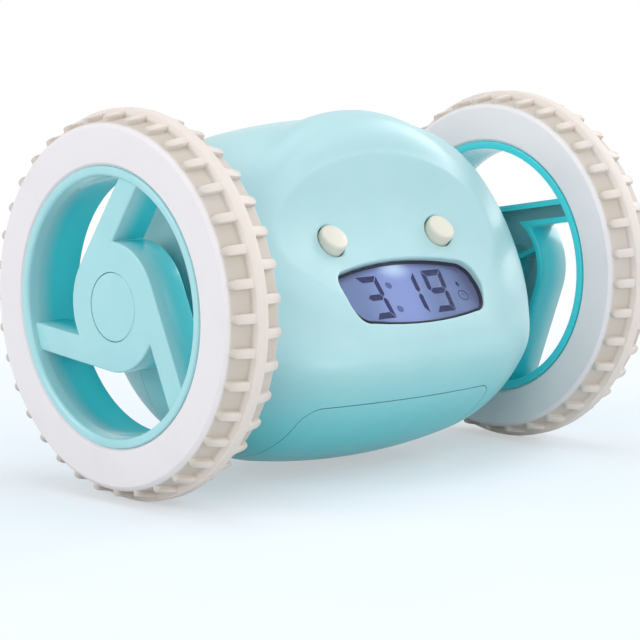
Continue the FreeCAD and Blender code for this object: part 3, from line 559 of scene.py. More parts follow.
class Shader:
    """A material's node tree, written as expressions."""

    def __init__(self, name: str) -> None:
        """Start a material with a Principled surface.

        Args:
            name: The material's name.
        """
        self.material = bpy.data.materials.new(name)
        self.material.use_nodes = True
        self.tree = self.material.node_tree
        self.tree.nodes.clear()
        self.output = self.tree.nodes.new("ShaderNodeOutputMaterial")
        self.surface = self.tree.nodes.new("ShaderNodeBsdfPrincipled")
        self.tree.links.new(self.surface.outputs[0], self.output.inputs["Surface"])
        self.place = self.node("ShaderNodeTexCoord").outputs["Object"]

    def node(self, kind: str, settings: Optional[dict] = None,
             sockets: Optional[dict] = None) -> bpy.types.Node:
        """Add any node.

        Args:
            kind: The node's type.
            settings: Its properties, set first.
            sockets: Values or links of its inputs, by name or number.

        Returns:
            The node.
        """
        made = self.tree.nodes.new(kind)
        for key, value in (settings or {}).items():
            setattr(made, key, value)
        for key, value in (sockets or {}).items():
            self.feed(made.inputs[key], value)
        return made

    def feed(self, socket: bpy.types.NodeSocket, value: object) -> None:
        """Set a socket to a value, or link it.

        Args:
            socket: The socket.
            value: A number, a colour, an expression or an output.
        """
        if isinstance(value, Num):
            value = value.socket
        if isinstance(value, bpy.types.NodeSocket):
            self.tree.links.new(value, socket)
        else:
            socket.default_value = value

    def axes(self) -> tuple[Num, Num, Num]:
        """The surface point's X, Y and Z in metres."""
        split = self.node("ShaderNodeSeparateXYZ", None, {0: self.place})
        return tuple(Num(self, s) for s in split.outputs)

    def noise(self, scale: float, detail: float = 2.0, roughness: float = 0.5,
              stretch: Sequence[float] = (1.0, 1.0, 1.0)) -> Num:
        """A noise over the surface.

        Args:
            scale: One over a grain's width in metres.
            detail: How many finer noises are added.
            roughness: How strong those are.
            stretch: How the grains are squeezed along X, Y and Z.

        Returns:
            The noise, from 0 to 1.
        """
        moved = self.node("ShaderNodeMapping", None, {"Vector": self.place, "Scale": tuple(stretch)})
        node = self.node("ShaderNodeTexNoise", None, {
            "Vector": moved.outputs[0], "Scale": scale, "Detail": detail, "Roughness": roughness})
        return Num(self, node.outputs[0])

    def mix(self, factor: object, a: object, b: object) -> bpy.types.NodeSocket:
        """A colour between two.

        Args:
            factor: 0 for the first and 1 for the second.
            a, b: The two colours, as values or links.

        Returns:
            The mixed colour.
        """
        made = self.tree.nodes.new("ShaderNodeMix")
        made.data_type = "RGBA"
        self.feed(made.inputs[0], factor)
        self.feed(made.inputs[6], a)
        self.feed(made.inputs[7], b)
        return made.outputs[2]

    def bump(self, height: Num, distance: float, strength: float = 1.0,
             under: Optional[bpy.types.NodeSocket] = None) -> bpy.types.NodeSocket:
        """A bumped normal.

        Args:
            height: The height, from 0 to 1.
            distance: What a height of 1 stands for, in metres.
            strength: How much of the bump shows.
            under: A normal that this one is laid over.

        Returns:
            The normal.
        """
        node = self.node("ShaderNodeBump", None, {"Height": height, "Distance": distance,
                                                  "Strength": strength})
        if under is not None:
            self.tree.links.new(under, node.inputs["Normal"])
        return node.outputs[0]

    def finish(self, **sockets: object) -> bpy.types.Material:
        """Set the Principled surface's sockets by their names, with _ for a space."""
        for key, value in sockets.items():
            self.feed(self.surface.inputs[key.replace("_", " ")], value)
        return self.material


@dataclass(frozen=True)
class PaintedShade:
    """Painted light and shade: how a plastic's colour is painted deeper along one axis of the clock, and
    paler beyond.
    """

    colour: Colour
    axis: int
    start: float
    stop: float


@dataclass(frozen=True)
class MouldedPlastic:
    """A smooth injection moulding with faint flow marks, a fine skin and optional painted shade; sizes in
    metres.
    """

    name: str
    colour: Colour
    shade: Colour
    roughness: float = 0.26
    skin: float = 0.000012
    translucency: float = 0.0
    specular: float = 0.5
    painted_shade: Optional[PaintedShade] = None
    flow_scale: float = 38.0
    swirl_scale: float = 260.0
    peel_scale: float = 520.0
    grain_scale: float = 2600.0
    refraction: float = 1.49
    scatter: float = 0.002

    def build(self) -> bpy.types.Material:
        """Make the material.

        Returns:
            The material.
        """
        shader = Shader(self.name)
        flow = shader.noise(self.flow_scale, 3.0, 0.55, (1.0, 1.6, 1.0))
        grain = shader.noise(self.grain_scale, 2.0)
        swirl = shader.noise(self.swirl_scale, 4.0)
        tone = shader.mix(flow.fade(0.35, 0.75), srgb(*self.colour), srgb(*self.shade))
        # Painted shade: the colour is painted deeper teal where the coordinate along one axis is small, where
        # the part lies in shade, and keeps its paler tone farther out.
        if self.painted_shade:
            deep = self.painted_shade
            place = shader.axes()[deep.axis].size() / MM
            tone = shader.mix(place.fade(deep.start, deep.stop), srgb(*deep.colour), tone)
        peel = shader.bump(shader.noise(self.peel_scale, 2.0), self.skin * 1.5, 0.6)
        return shader.finish(
            Base_Color=tone, Roughness=self.roughness + 0.07 * swirl - 0.02,
            Normal=shader.bump(grain, self.skin, 0.5, peel), IOR=self.refraction,
            Specular_IOR_Level=self.specular,
            Subsurface_Weight=self.translucency, Subsurface_Scale=self.scatter)


@dataclass(frozen=True)
class SoftRubber:
    """The tyres' matte rubber: greyer on the flat sides, warm in the tread, with painted shade in the pockets
    between the lugs.
    """

    name: str
    side: Colour
    tread: Colour
    pocket_shade: Colour
    tread_start: float = 41.0
    crown: float = 43.0

    def build(self) -> bpy.types.Material:
        """Make the material.

        Returns:
            The material.
        """
        shader = Shader(self.name)
        _, y, z = shader.axes()
        up = z - AXLE_HEIGHT * MM
        radius = (y * y + up * up).root()
        outer = radius.fade(self.tread_start * MM, (self.tread_start + 0.6) * MM)
        top = radius.fade((self.crown - 0.7) * MM, (self.crown + 0.5) * MM)
        speck = shader.noise(900.0, 3.0, 0.6)
        cloud = shader.noise(55.0, 3.0)
        # Painted shade: the tread is painted darker below the lugs' tops, down in the pockets between them.
        tread = shader.mix(top, srgb(*self.pocket_shade), srgb(*self.tread))
        colour = shader.mix(outer, srgb(*self.side), tread)
        dusty = tuple(0.94 * v for v in self.side)
        tone = shader.mix(cloud.fade(0.45, 0.8) * 0.35, colour, srgb(*dusty))
        grain = shader.bump(speck, 0.00003, 0.55)
        return shader.finish(
            Base_Color=tone, Roughness=0.50 + 0.14 * speck,
            Normal=shader.bump(shader.noise(3200.0, 2.0), 0.00001, 0.5, grain),
            Specular_IOR_Level=0.35, Sheen_Weight=0.08, Sheen_Roughness=0.6)


@dataclass(frozen=True)
class TurnedMetal:
    """A drawn or turned metal with fine lines along one way."""

    name: str
    colour: Colour
    roughness: float = 0.28
    stretch: Point3 = (0.03, 1.0, 1.0)

    def build(self) -> bpy.types.Material:
        """Make the material.

        Returns:
            The material.
        """
        shader = Shader(self.name)
        lines = shader.noise(4200.0, 3.0, 0.6, self.stretch)
        stain = shader.noise(160.0, 3.0)
        darker = tuple(0.86 * v for v in self.colour)
        tone = shader.mix(stain.fade(0.4, 0.8), srgb(*self.colour), srgb(*darker))
        return shader.finish(Base_Color=tone, Metallic=1.0,
                             Roughness=self.roughness + 0.2 * (lines - 0.5),
                             Normal=shader.bump(lines, 0.00001, 0.6))


@dataclass(frozen=True)
class CircuitBoard:
    """Solder mask over copper tracks, with tinned pads; sizes in metres."""

    name: str
    mask: Colour
    track: Colour
    tin: Colour = (196, 198, 200)
    pitch: float = 0.0016
    row: float = 2.3
    jog: float = 0.0012

    def build(self) -> bpy.types.Material:
        """Make the material.

        Returns:
            The material.
        """
        shader = Shader(self.name)
        x, y, z = shader.axes()
        bend = self.jog * shader.noise(420.0, 0.0).above(0.5)
        along = ((x + bend) * (math.tau / self.pitch)).wave()
        across = ((y + z + bend) * (math.tau / (self.pitch * self.row))).wave()
        tracks = along.fade(0.55, 0.7) * shader.noise(190.0, 1.0).fade(0.45, 0.5)
        pads = (along * across).fade(0.82, 0.88)
        copper = shader.mix(tracks, srgb(*self.mask), srgb(*self.track))
        colour = shader.mix(pads, copper, srgb(*self.tin))
        return shader.finish(Base_Color=colour, Metallic=0.8 * pads, Roughness=0.42 - 0.1 * pads,
                             Normal=shader.bump(tracks + pads, 0.00003, 0.6))


@dataclass(frozen=True)
class CellWrap:
    """A battery's printed film: two plain bands round a dull can; sizes in metres."""

    name: str
    body: Colour
    band: Colour
    can: Colour = (188, 188, 186)
    band_place: float = 0.0135
    band_half: float = 0.0058
    film_end: float = 0.0203
    edge: float = 0.0001

    def build(self) -> bpy.types.Material:
        """Make the material.

        Returns:
            The material.
        """
        shader = Shader(self.name)
        x, _, _ = shader.axes()
        ring = (x.size() - self.band_place).size()
        band = 1.0 - ring.fade(self.band_half, self.band_half + 2 * self.edge)
        bare = x.size().fade(self.film_end, self.film_end + self.edge)
        scuff = shader.noise(700.0, 4.0)
        film = shader.mix(band, srgb(*self.body), srgb(*self.band))
        colour = shader.mix(bare, film, srgb(*self.can))
        return shader.finish(Base_Color=colour, Metallic=0.25 + 0.7 * bare, Roughness=0.3 + 0.15 * scuff,
                             Normal=shader.bump(scuff, 0.00001, 0.5))


@dataclass(frozen=True)
class LitPanel:
    """The liquid-crystal panel: periwinkle, with a painted pool of light and a painted beam at its upper
    edge, painted shadow along its top and right edges, and a faint painted glow.
    """

    name: str
    field_colour: Colour = (112, 130, 168)
    beam_colour: Colour = (142, 158, 210)
    edge_shadow_colour: Colour = (66, 62, 94)
    light_pool_colour: Colour = (200, 224, 246)
    # Painted light: the pool of light's place and reach, and the beam painted below it.
    lamp: Point2 = (-0.7, -10.3)
    light_pool_reach: Point2 = (0.4, 5.2)
    beam_lean: float = 0.3
    beam_reach: Point2 = (2.0, 13.0)
    half_width: float = 21.5
    # Painted shadow: widths and bend of the darkening along the right and top edges.
    rim: float = 7.0
    brow: Point2 = (-11.4, -9.0)
    top_shadow_bend: float = 0.008
    # Strength of the panel's painted glow.
    glow: float = 0.12

    def build(self, plane: Plane) -> bpy.types.Material:
        """Make the material.

        Args:
            plane: The face's plane, which the panel lies along.

        Returns:
            The material.
        """
        shader = Shader(self.name)
        x, y, z = shader.axes()
        turn = math.radians(plane.turn)
        up = (y * math.cos(turn) + (z - AXLE_HEIGHT * MM) * math.sin(turn)) / MM
        across = x / MM
        cloud = shader.noise(90.0, 2.0)
        # Painted light: a lighter beam painted down the panel from the pool of light.
        drop = self.lamp[1] - up
        beam = 1.0 - (across - self.lamp[0] + self.beam_lean * drop).size().fade(*self.beam_reach)
        base = shader.mix(beam * 0.9, srgb(*self.field_colour), srgb(*self.beam_colour))
        # Painted light: a bright pool of light painted at the panel's upper edge.
        dx, dy = (across - self.lamp[0]) * 0.8, drop * 1.15
        near = (dx * dx + dy * dy).root()
        lamp = 1.0 - near.fade(*self.light_pool_reach)
        lit = shader.mix(lamp * 0.95, base, srgb(*self.light_pool_colour))
        # Painted shadow: the panel is painted darker towards its right edge and under its top edge, where the
        # opening's wall shades it.
        rim = across.fade(self.half_width - self.rim, self.half_width)
        brow = (up + self.top_shadow_bend * across * across).fade(*self.brow)
        dark = (rim + brow * (1.0 - lamp)).least(1.0)
        colour = shader.mix(dark * 0.75 + 0.05 * cloud, lit, srgb(*self.edge_shadow_colour))
        # Painted glow: the panel's colour also shines faintly.
        return shader.finish(Base_Color=colour, Emission_Color=colour, Emission_Strength=self.glow,
                             Roughness=0.4 + 0.06 * cloud, Specular_IOR_Level=0.0)


@dataclass(frozen=True)
class ClearPane:
    """Thin clear acrylic, which mostly lets light straight through."""

    name: str
    tint: Colour = (150, 160, 200)
    shade: Colour = (168, 176, 212)
    alpha: float = 0.05

    def build(self) -> bpy.types.Material:
        """Make the material.

        Returns:
            The material.
        """
        shader = Shader(self.name)
        haze = shader.noise(120.0, 3.0)
        return shader.finish(Base_Color=shader.mix(haze, srgb(*self.tint), srgb(*self.shade)),
                             Alpha=self.alpha + 0.02 * haze, Roughness=0.05 + 0.03 * haze, IOR=1.49,
                             Specular_IOR_Level=0.2)


class Finishes:
    """Every finish of the clock, made once."""

    def __init__(self) -> None:
        """Build all the materials."""
        # Painted shade: the casing is painted deeper teal towards its bottom, from 38 mm above the floor down
        # to 4 mm.
        low = PaintedShade((74, 200, 206), 2, 4.0, 38.0)
        self.shell = MouldedPlastic("casing_aqua", (178, 217, 220), (172, 212, 216), 0.34,
                                    translucency=0.06, painted_shade=low).build()
        # Painted light and shade: each wheel keeps its pale tone on its outer 2.4 mm as painted sheen, and is
        # painted deeper teal from 8 mm in, as painted shade in the barrel and spokes.
        inward = PaintedShade((66, 210, 218), 0, HALF_WIDTH - 8.0, HALF_WIDTH - 2.4)
        self.wheel = MouldedPlastic("wheel_aqua", (166, 217, 221), (160, 212, 217), 0.16,
                                    translucency=0.04, painted_shade=inward).build()
        self.cream = MouldedPlastic("button_cream", (228, 224, 210), (222, 217, 202), 0.42,
                                    0.00002).build()
        self.tyre = SoftRubber("tyre_white", (230, 225, 226), (229, 218, 209), (203, 193, 181)).build()
        self.steel = TurnedMetal("plated_steel", (196, 197, 200)).build()
        self.spring = TurnedMetal("contact_nickel", (204, 200, 186), 0.22, (1.0, 1.0, 1.0)).build()
        self.can = TurnedMetal("motor_can", (176, 178, 182), 0.34, (1.0, 0.05, 1.0)).build()
        self.acetal = MouldedPlastic("gear_acetal", (236, 234, 226), (228, 226, 216), 0.36).build()
        self.black = MouldedPlastic("inner_black", (46, 48, 52), (38, 40, 43), 0.45, 0.00003).build()
        self.chip = MouldedPlastic("chip_black", (30, 31, 33), (24, 25, 26), 0.5, 0.00002).build()
        self.guide = MouldedPlastic("light_guide", (214, 220, 246), (204, 212, 244), 0.3).build()
        self.board = CircuitBoard("board_green", (28, 92, 54), (44, 122, 70)).build()
        self.wrap = CellWrap("cell_wrap", (52, 54, 60), (206, 142, 48)).build()
        self.pane = ClearPane("window_clear").build()
        self.panel = LitPanel("display_lit").build(FACE)
        # Painted shade: a dark ring inside the display's opening, standing where the opening's wall lies in
        # shade.
        self.shade_ring = MouldedPlastic("shade_ring_black", (34, 34, 50), (28, 28, 42), 0.5, 0.00002).build()
        self.ink = MouldedPlastic("display_ink", (44, 46, 88), (38, 40, 80), 0.6, 0.0, specular=0.0).build()
        self.faint_ink = MouldedPlastic("display_faint", (98, 108, 156), (92, 102, 150), 0.6, 0.0,
                                        specular=0.0).build()


# -------------------------------------------------------------------- casing

FACE = Plane(46.0)
REAR = Plane(-52.0, (3.0, -1.5))
SPEAKER = Plane(-106.0, (3.0, -1.5))


def soft_max(a: np.ndarray, b: np.ndarray, width: float) -> np.ndarray:
    """The larger of two levels, blended over a width."""
    share = np.maximum(width - np.abs(a - b), 0.0) / width
    return np.maximum(a, b) + share * share * width / 4


def soft_min(a: np.ndarray, b: np.ndarray, width: float) -> np.ndarray:
    """The smaller of two levels, blended over a width."""
    return -soft_max(-a, -b, width)


def outside_arc(y: np.ndarray, z: np.ndarray, points: Sequence[Point2]) -> np.ndarray:
    """Distance outside the circle through three points of the side view."""
    centre_y, centre_z, radius = circle_through(*points)
    return np.hypot(y - centre_y, z - centre_z) - radius


@dataclass
class CasingForm:
    """The casing's outer form: a crowned barrel joined to the tilted head."""

    barrel_radius: float = 41.0
    barrel_back: float = 3.0
    barrel_drop: float = 1.5
    half_length: float = 51.5
    crown: float = 170.0
    end_round: float = 29.0
    head_half_width: float = 48.7
    head_half_depth: float = 34.3
    head_half_height: float = 50.7
    head_back: float = -3.5
    head_drop: float = 8.0
    head_tilt: float = 9.74
    face_height: float = 20.4
    forehead_round: float = 27.0
    forehead_slope: float = 86.0
    face_knee: float = -9.5
    face_dish: float = 300.0
    face_edge: float = 10.0
    chin: tuple[Point2, ...] = ((-90.0, -11.0), (-38.0, -11.4), (-34.0, -12.0), (0.0, -30.0), (68.0, -66.0))
    chin_edge: float = 5.0
    crease: float = 1.0
    temple: tuple[Point2, ...] = ((-34.2, -8.4), (-28.4, 6.0), (-18.7, 24.5))
    brow: tuple[Point2, ...] = ((-18.7, 24.5), (-12.6, 33.0), (-4.2, 41.0))
    belly_start: Point2 = (-37.1, -12.2)
    belly_rise: Point2 = (22.9, 7.8)
    belly_edge: float = 5.0
    shoulder_edge: float = 6.0
    shoulder_axis: float = 80.0
    ray_start: Point3 = (0.0, 8.0, 10.0)
    ray_reach: Point2 = (4.0, 95.0)
    ray_steps: int = 120
    ray_halvings: int = 22
    height_reach: Point2 = (10.0, 60.0)
    height_halvings: int = 40
    face_span: float = 60.0

    def barrel(self, x: np.ndarray, y: np.ndarray, z: np.ndarray) -> np.ndarray:
        """Level of the crowned barrel.

        Args:
            x, y, z: Places in the axle's frame.

        Returns:
            The level, negative inside.
        """
        along = np.abs(x)
        r = np.hypot(y - self.barrel_back, z + self.barrel_drop)
        flank = self.half_length - self.end_round
        lean = math.asin(flank / (self.crown - self.end_round))
        rise = self.barrel_radius - self.crown
        level = rise + (self.crown - self.end_round) * math.cos(lean)
        on_crown = np.arctan2(along, r - rise) < lean
        belt = np.hypot(r - rise, along) - self.crown
        end = np.hypot(np.maximum(along - flank, 0.0), np.maximum(r - level, 0.0)) - self.end_round
        return np.where(on_crown & (r > level * 0.5), belt, end)

    def shoulders(self, x: np.ndarray, y: np.ndarray, z: np.ndarray) -> np.ndarray:
        """Level of what is cut off the barrel's front above the belly.

        Args:
            x, y, z: Places in the axle's frame.

        Returns:
            The level, positive in what is cut off.
        """
        plan = self.shoulder_axis - np.hypot(x, y - self.shoulder_axis)
        front = np.where(z < self.brow[0][1], outside_arc(plan, z, self.temple),
                         outside_arc(plan, z, self.brow))
        slope = math.atan2(self.belly_rise[1], self.belly_rise[0])
        above = ((z - self.belly_start[1]) * math.cos(slope)
                 - (plan - self.belly_start[0]) * math.sin(slope))
        return soft_min(front, above, self.belly_edge)

    def egg(self, x: np.ndarray, y: np.ndarray, z: np.ndarray) -> tuple[np.ndarray, np.ndarray]:
        """The egg that the head is made from.

        Args:
            x, y, z: Places in the axle's frame.

        Returns:
            How near each place is, 1 on the egg's skin, and how fast that grows.
        """
        tilt = math.radians(self.head_tilt)
        dy, dz = y - self.head_back, z + self.head_drop
        depth = -dy * math.cos(tilt) - dz * math.sin(tilt)
        height = -dy * math.sin(tilt) + dz * math.cos(tilt)
        a, b, c = self.head_half_width, self.head_half_depth, self.head_half_height
        near = np.sqrt((x / a) ** 2 + (depth / b) ** 2 + (height / c) ** 2)
        slope = np.sqrt((x / a**2) ** 2 + (depth / b**2) ** 2 + (height / c**2) ** 2) + 1e-9
        return near, slope

    def face(self, x: np.ndarray, y: np.ndarray, z: np.ndarray) -> np.ndarray:
        """Level of the dished face, which curls up into the forehead.

        Args:
            x, y, z: Places in the axle's frame.

        Returns:
            The level, positive in front of the face.
        """
        turn, brow = math.radians(FACE.turn), math.radians(self.forehead_slope)
        _, knee_y, knee_z = FACE.point(0.0, self.face_knee, self.face_height)
        back = knee_y - self.face_dish
        plan = back + np.hypot(x, y - back)
        centre = (knee_y - self.forehead_round * math.sin(turn),
                  knee_z + self.forehead_round * math.cos(turn))
        bend = self.forehead_round - np.hypot(plan - centre[0], z - centre[1])
        lower = -(plan - knee_y) * math.sin(turn) + (z - knee_z) * math.cos(turn)
        top = (centre[0] + self.forehead_round * math.sin(brow),
               centre[1] - self.forehead_round * math.cos(brow))
        upper = -(plan - top[0]) * math.sin(brow) + (z - top[1]) * math.cos(brow)
        angle = np.arctan2(plan - centre[0], centre[1] - z)
        far_in_front = plan < centre[0] - self.face_span
        return np.where(far_in_front | (angle < turn), lower, np.where(angle > brow, upper, bend))

    def level(self, points: np.ndarray) -> np.ndarray:
        """Level of the whole form.

        Args:
            points: Places in the axle's frame, one in each row.

        Returns:
            The levels, negative inside.
        """
        x, y, z = points[:, 0], points[:, 1], points[:, 2]
        near, slope = self.egg(x, y, z)
        face = self.face(x, y, z)
        head = soft_max(near * (near - 1.0) / slope, face, self.face_edge)
        head = soft_max(head, np.interp(y, *zip(*self.chin)) - z, self.chin_edge)
        barrel = soft_max(self.barrel(x, y, z), self.shoulders(x, y, z), self.shoulder_edge)
        # The barrel stays out of the part of the egg that the face cuts off.
        barrel = np.maximum(barrel, np.minimum(face, (1.0 - near) * self.head_half_depth))
        return soft_min(barrel, head, self.crease)

    def reach(self, directions: np.ndarray, depth: float = 0.0) -> np.ndarray:
        """Points where rays from inside meet the form, or a level below it.

        Args:
            directions: Unit directions from the rays' start.
            depth: How far below the surface to stop.

        Returns:
            One point for each ray, in the axle's frame.
        """
        start = np.array(self.ray_start)
        nearest, farthest = self.ray_reach
        low, high = np.full(len(directions), nearest), np.full(len(directions), farthest)
        inside = np.ones(len(directions), bool)
        for step in np.linspace(nearest, farthest, self.ray_steps):
            leaving = inside & (self.level(start + directions * step) + depth > 0)
            high[leaving] = step
            inside &= ~leaving
            low[inside] = step
        along = bisect(lambda t: self.level(start + directions * t[:, None]) + depth, low, high,
                       self.ray_halvings)
        return start + directions * along[:, None]

    def height_on(self, plane: Plane, across: Sequence[Point2]) -> list[float]:
        """How far the form stands above a plane.

        Args:
            plane: The plane.
            across: Points of the plane, across and along it.

        Returns:
            The form's height above each point.
        """
        def level(heights: np.ndarray) -> np.ndarray:
            """The form's levels at heights above the points."""
            return self.level(np.array([plane.point(x, w, h) for (x, w), h in zip(across, heights)]))

        low, high = (np.full(len(across), limit) for limit in self.height_reach)
        return list(bisect(level, low, high, self.height_halvings))


def mouth(grow: float = 0.0, steps: int = 8) -> list[Point2]:
    """The display opening's outline, across and up the face.

    Args:
        grow: Margin by which it is grown.
        steps: Chords of each of its arcs.

    Returns:
        The outline's points, from its upper left corner round by the right.
    """
    g = grow
    right = [(19.3 + g * 0.7, -11.7 + g * 0.8), (21.2 + g, -13.4 + g * 0.3), (22.0 + g, -16.6),
             (21.9 + g, -19.8), (20.7 + g, -23.2 - g * 0.3), (19.3 + g * 0.7, -25.0 - g * 0.7),
             (17.0 + g * 0.2, -25.8 - g)]
    left = [(-x, w) for x, w in reversed(right)]
    stops = [left[-1], (0.0, -9.2 + g), *right, (0.0, -27.5 - g), *left]
    points = stops[:1]
    for middle, end in zip(stops[1::2], stops[2::2]):
        points += arc_through(points[-1], middle, end, steps)
    return points[:-1]


@dataclass
class Casing:
    """The front and rear shells and the battery door, cut from one hollow form."""

    finishes: Finishes
    form: CasingForm = field(default_factory=CasingForm)
    wall: float = 2.2
    outer_cuts: tuple[int, int] = (10, 9)
    inner_cuts: tuple[int, int] = (5, 9)
    parting: float = 12.0
    gap: float = 0.07
    door_gap: float = 0.09
    door_level: float = -24.0
    door_left: float = -33.2
    door_right: float = 25.4
    door_round: float = 4.0
    door_foot: float = -60.0
    door_reach: float = 80.0
    room: float = 90.0
    mouth_lip: float = 0.6
    eye_lip: float = 0.45
    rear_lip: float = 0.4
    sound_lip: float = 0.25
    cut_depth: float = 12.0
    rear_cut_depth: float = 34.0
    bush_radius: float = 4.05
    bush_span: Point2 = (40.0, 60.0)
    well: float = 2.6
    well_span: Point2 = (9.0, 60.0)
    sleeve: float = 3.3
    sleeve_span: Point2 = (13.0, 50.0)
    door_well: float = 2.4
    door_well_span: Point2 = (-60.0, -30.0)
    door_sleeve: Point3 = (-34.0, -30.5, -29.5)
    sound_hole: float = 0.9
    sound_ring: float = 5.0

    def skin(self, name: str, cuts: tuple[int, int], depth: float) -> Solid:
        """A closed skin of the form: a cube, subdivided, whose vertices slide along rays.

        Args:
            name: The skin's name.
            cuts: How finely the cube is subdivided, and each part of it again.
            depth: How far below the form's surface the skin lies.

        Returns:
            The skin, its faces outwards.
        """
        Bench.clear()
        bpy.ops.mesh.primitive_cube_add(size=2)
        obj = bpy.context.object
        obj.name = name
        bpy.ops.object.mode_set(mode="EDIT")
        bpy.ops.mesh.select_all(action="SELECT")
        for number in cuts:
            bpy.ops.mesh.subdivide(number_cuts=number)
        bpy.ops.object.mode_set(mode="OBJECT")
        rays = np.tan(Bench.points(obj) * math.pi / 4)
        rays /= np.linalg.norm(rays, axis=1)[:, None]
        Bench.set_points(obj, metres(self.form.reach(rays, depth)))
        return obj

    def hollow(self) -> Solid:
        """Make the whole casing as one hollow solid.

        Returns:
            The casing.
        """
        outer = self.skin("casing_outer", self.outer_cuts, 0.0)
        inner = self.skin("casing_inner", self.inner_cuts, self.wall)
        inner.data.flip_normals()
        return Bench.join([outer, inner], "casing_hollow")

    def zone(self, name: str, low: float, high: float) -> Solid:
        """A block that holds the casing between two planes across Y."""
        return Bench.block(name, Plane(0.0), (-self.room, low, -self.room), (self.room, high, self.room))

    def door_zone(self, grow: float) -> Solid:
        """The prism that the battery door is cut with, seen from the front.

        Args:
            grow: Margin by which it is grown.

        Returns:
            The prism, which runs through the casing from front to back.
        """
        left, right = self.door_left - grow, self.door_right + grow
        level, corner = self.door_level + grow, self.door_round + grow
        outline = rounded([(left, self.door_foot, 0), (right, self.door_foot, 0),
                           (right, level, corner), (left, level, corner)], 8)
        return Bench.stack("door_zone", [[(x, y, z) for x, z in outline]
                                         for y in (-self.door_reach, self.door_reach)])

    def cutter(self, name: str, plane: Plane, outline: Sequence[Point2], low: float,
               lip: float, high: float = 52.0) -> Solid:
        """A cutter for an opening whose rim is rounded where it meets the skin.

        Args:
            name: The cutter's name.
            plane: The plane that the opening is drawn on.
            outline: The opening's outline.
            low: How deep the cutter reaches.
            lip: Radius of the rounded rim.
            high: How far out the cutter reaches.

        Returns:
            The cutter.
        """
        loops = [[plane.point(x, w, low) for x, w in outline]]
        for step in range(7):
            angle = math.pi / 2 * step / 6
            ring = grown(outline, lip * (1 - math.cos(angle)))
            rise = lip * (math.sin(angle) - 1)
            loops.append([plane.point(x, w, h + rise)
                          for (x, w), h in zip(ring, self.form.height_on(plane, ring))])
        ring = grown(outline, lip + 0.1)
        loops.append([plane.point(x, w, h + 0.02)
                      for (x, w), h in zip(ring, self.form.height_on(plane, ring))])
        loops.append([plane.point(x, w, high) for x, w in ring])
        return Bench.stack(name, loops)

    def tube(self, name: str, origin: Sequence[float], axis: Vector, span: Point2,
             radii: Point2) -> Solid:
        """A round cutter or tube, with no bore where its first radius is 0."""
        (low, high), (bore, radius) = span, radii
        return Bench.lathe(name, [(low, bore), (low, radius), (high, radius), (high, bore)], origin, axis, 32)

    def bush_hole(self, side: int) -> Solid:
        """The round hole in an end wall, for the axle's bearing."""
        (low, high), radius = self.bush_span, self.bush_radius
        profile = [(side * a, r) for a, r in ((low, 0.0), (low, radius), (high, radius), (high, 0.0))]
        return Bench.lathe("bush_hole", profile, (0, 0, 0), Vector((1, 0, 0)), 48)

    def half(self, solid: Solid, name: str, low: float, high: float) -> Solid:
        """One of the two shells.

        Args:
            solid: The whole hollow casing, of which a copy is used.
            name: The shell's name.
            low, high: The planes across Y that the shell lies between.

        Returns:
            The shell, with its bearing holes and its part of the door's opening.
        """
        piece = Bench.copy(solid, Matrix.Identity(4))
        piece.name = name + "_skin"
        Bench.boolean(piece, self.zone(name + "_zone", low, high), "INTERSECT")
        return Bench.cut(piece, self.door_zone(self.door_gap), self.bush_hole(-1), self.bush_hole(1))

    def front(self, solid: Solid, buttons: "Buttons") -> Solid:
        """Open the front shell for the display and the eyes.

        Args:
            solid: The front half.
            buttons: The buttons, for their outlines.

        Returns:
            The front shell.
        """
        piece = self.half(solid, "front_shell", -self.room, self.parting - self.gap)
        Bench.cut(piece, self.cutter("mouth_cut", FACE, mouth(), self.cut_depth, self.mouth_lip))
        for side in (-1, 1):
            spot = circle(side * buttons.eye_spread, buttons.eye_level, buttons.eye_radius + buttons.gap)
            Bench.cut(piece, self.cutter("eye_cut", FACE, spot, self.cut_depth, self.eye_lip))
        return piece

    def rear(self, solid: Solid, buttons: "Buttons") -> Solid:
        """Open the rear shell, and add its screw wells and sleeves.

        Args:
            solid: The rear half.
            buttons: The buttons, for their outlines.

        Returns:
            The rear shell.
        """
        piece = self.half(solid, "rear_shell", self.parting + self.gap, self.room)
        for plane, outlines, lip in ((REAR, buttons.rear_openings(), self.rear_lip),
                                     (SPEAKER, self.sound_holes(), self.sound_lip)):
            for outline in outlines:
                Bench.cut(piece, self.cutter("rear_cut", plane, outline, self.rear_cut_depth, lip))
        back, sleeves = Vector((0, 1, 0)), []
        for x, z in Screws.spots():
            Bench.cut(piece, self.tube("screw_well", (x, 0, z), back, self.well_span, (0.0, self.well)))
            sleeves.append(self.tube("screw_sleeve", (x, 0, z), back, self.sleeve_span,
                                     (self.well, self.sleeve)))
        room = self.skin("sleeve_room", self.inner_cuts, self.wall / 2)
        sleeves = Bench.boolean(Bench.join(sleeves, "screw_sleeves"), room, "INTERSECT")
        return Bench.join([piece, sleeves], piece.name)

    def door(self, solid: Solid) -> Solid:
        """Cut the battery door from a casing, with its screw's well.

        Args:
            solid: The casing, which is used up.

        Returns:
            The door.
        """
        Bench.boolean(solid, self.door_zone(-self.door_gap), "INTERSECT")
        up, spot, bore = Vector((0, 0, 1)), (*Screws.door_spot, 0), self.door_well
        Bench.cut(solid, self.tube("door_well", spot, up, self.door_well_span, (0.0, bore)))
        foot, seat, top = self.door_sleeve
        profile = [(foot, bore), (foot, self.sleeve), (top, self.sleeve),
                   (top, 0.0), (seat, 0.0), (seat, bore)]
        return Bench.join([solid, Bench.lathe("door_sleeve", profile, spot, up, 32)], "battery_door_skin")

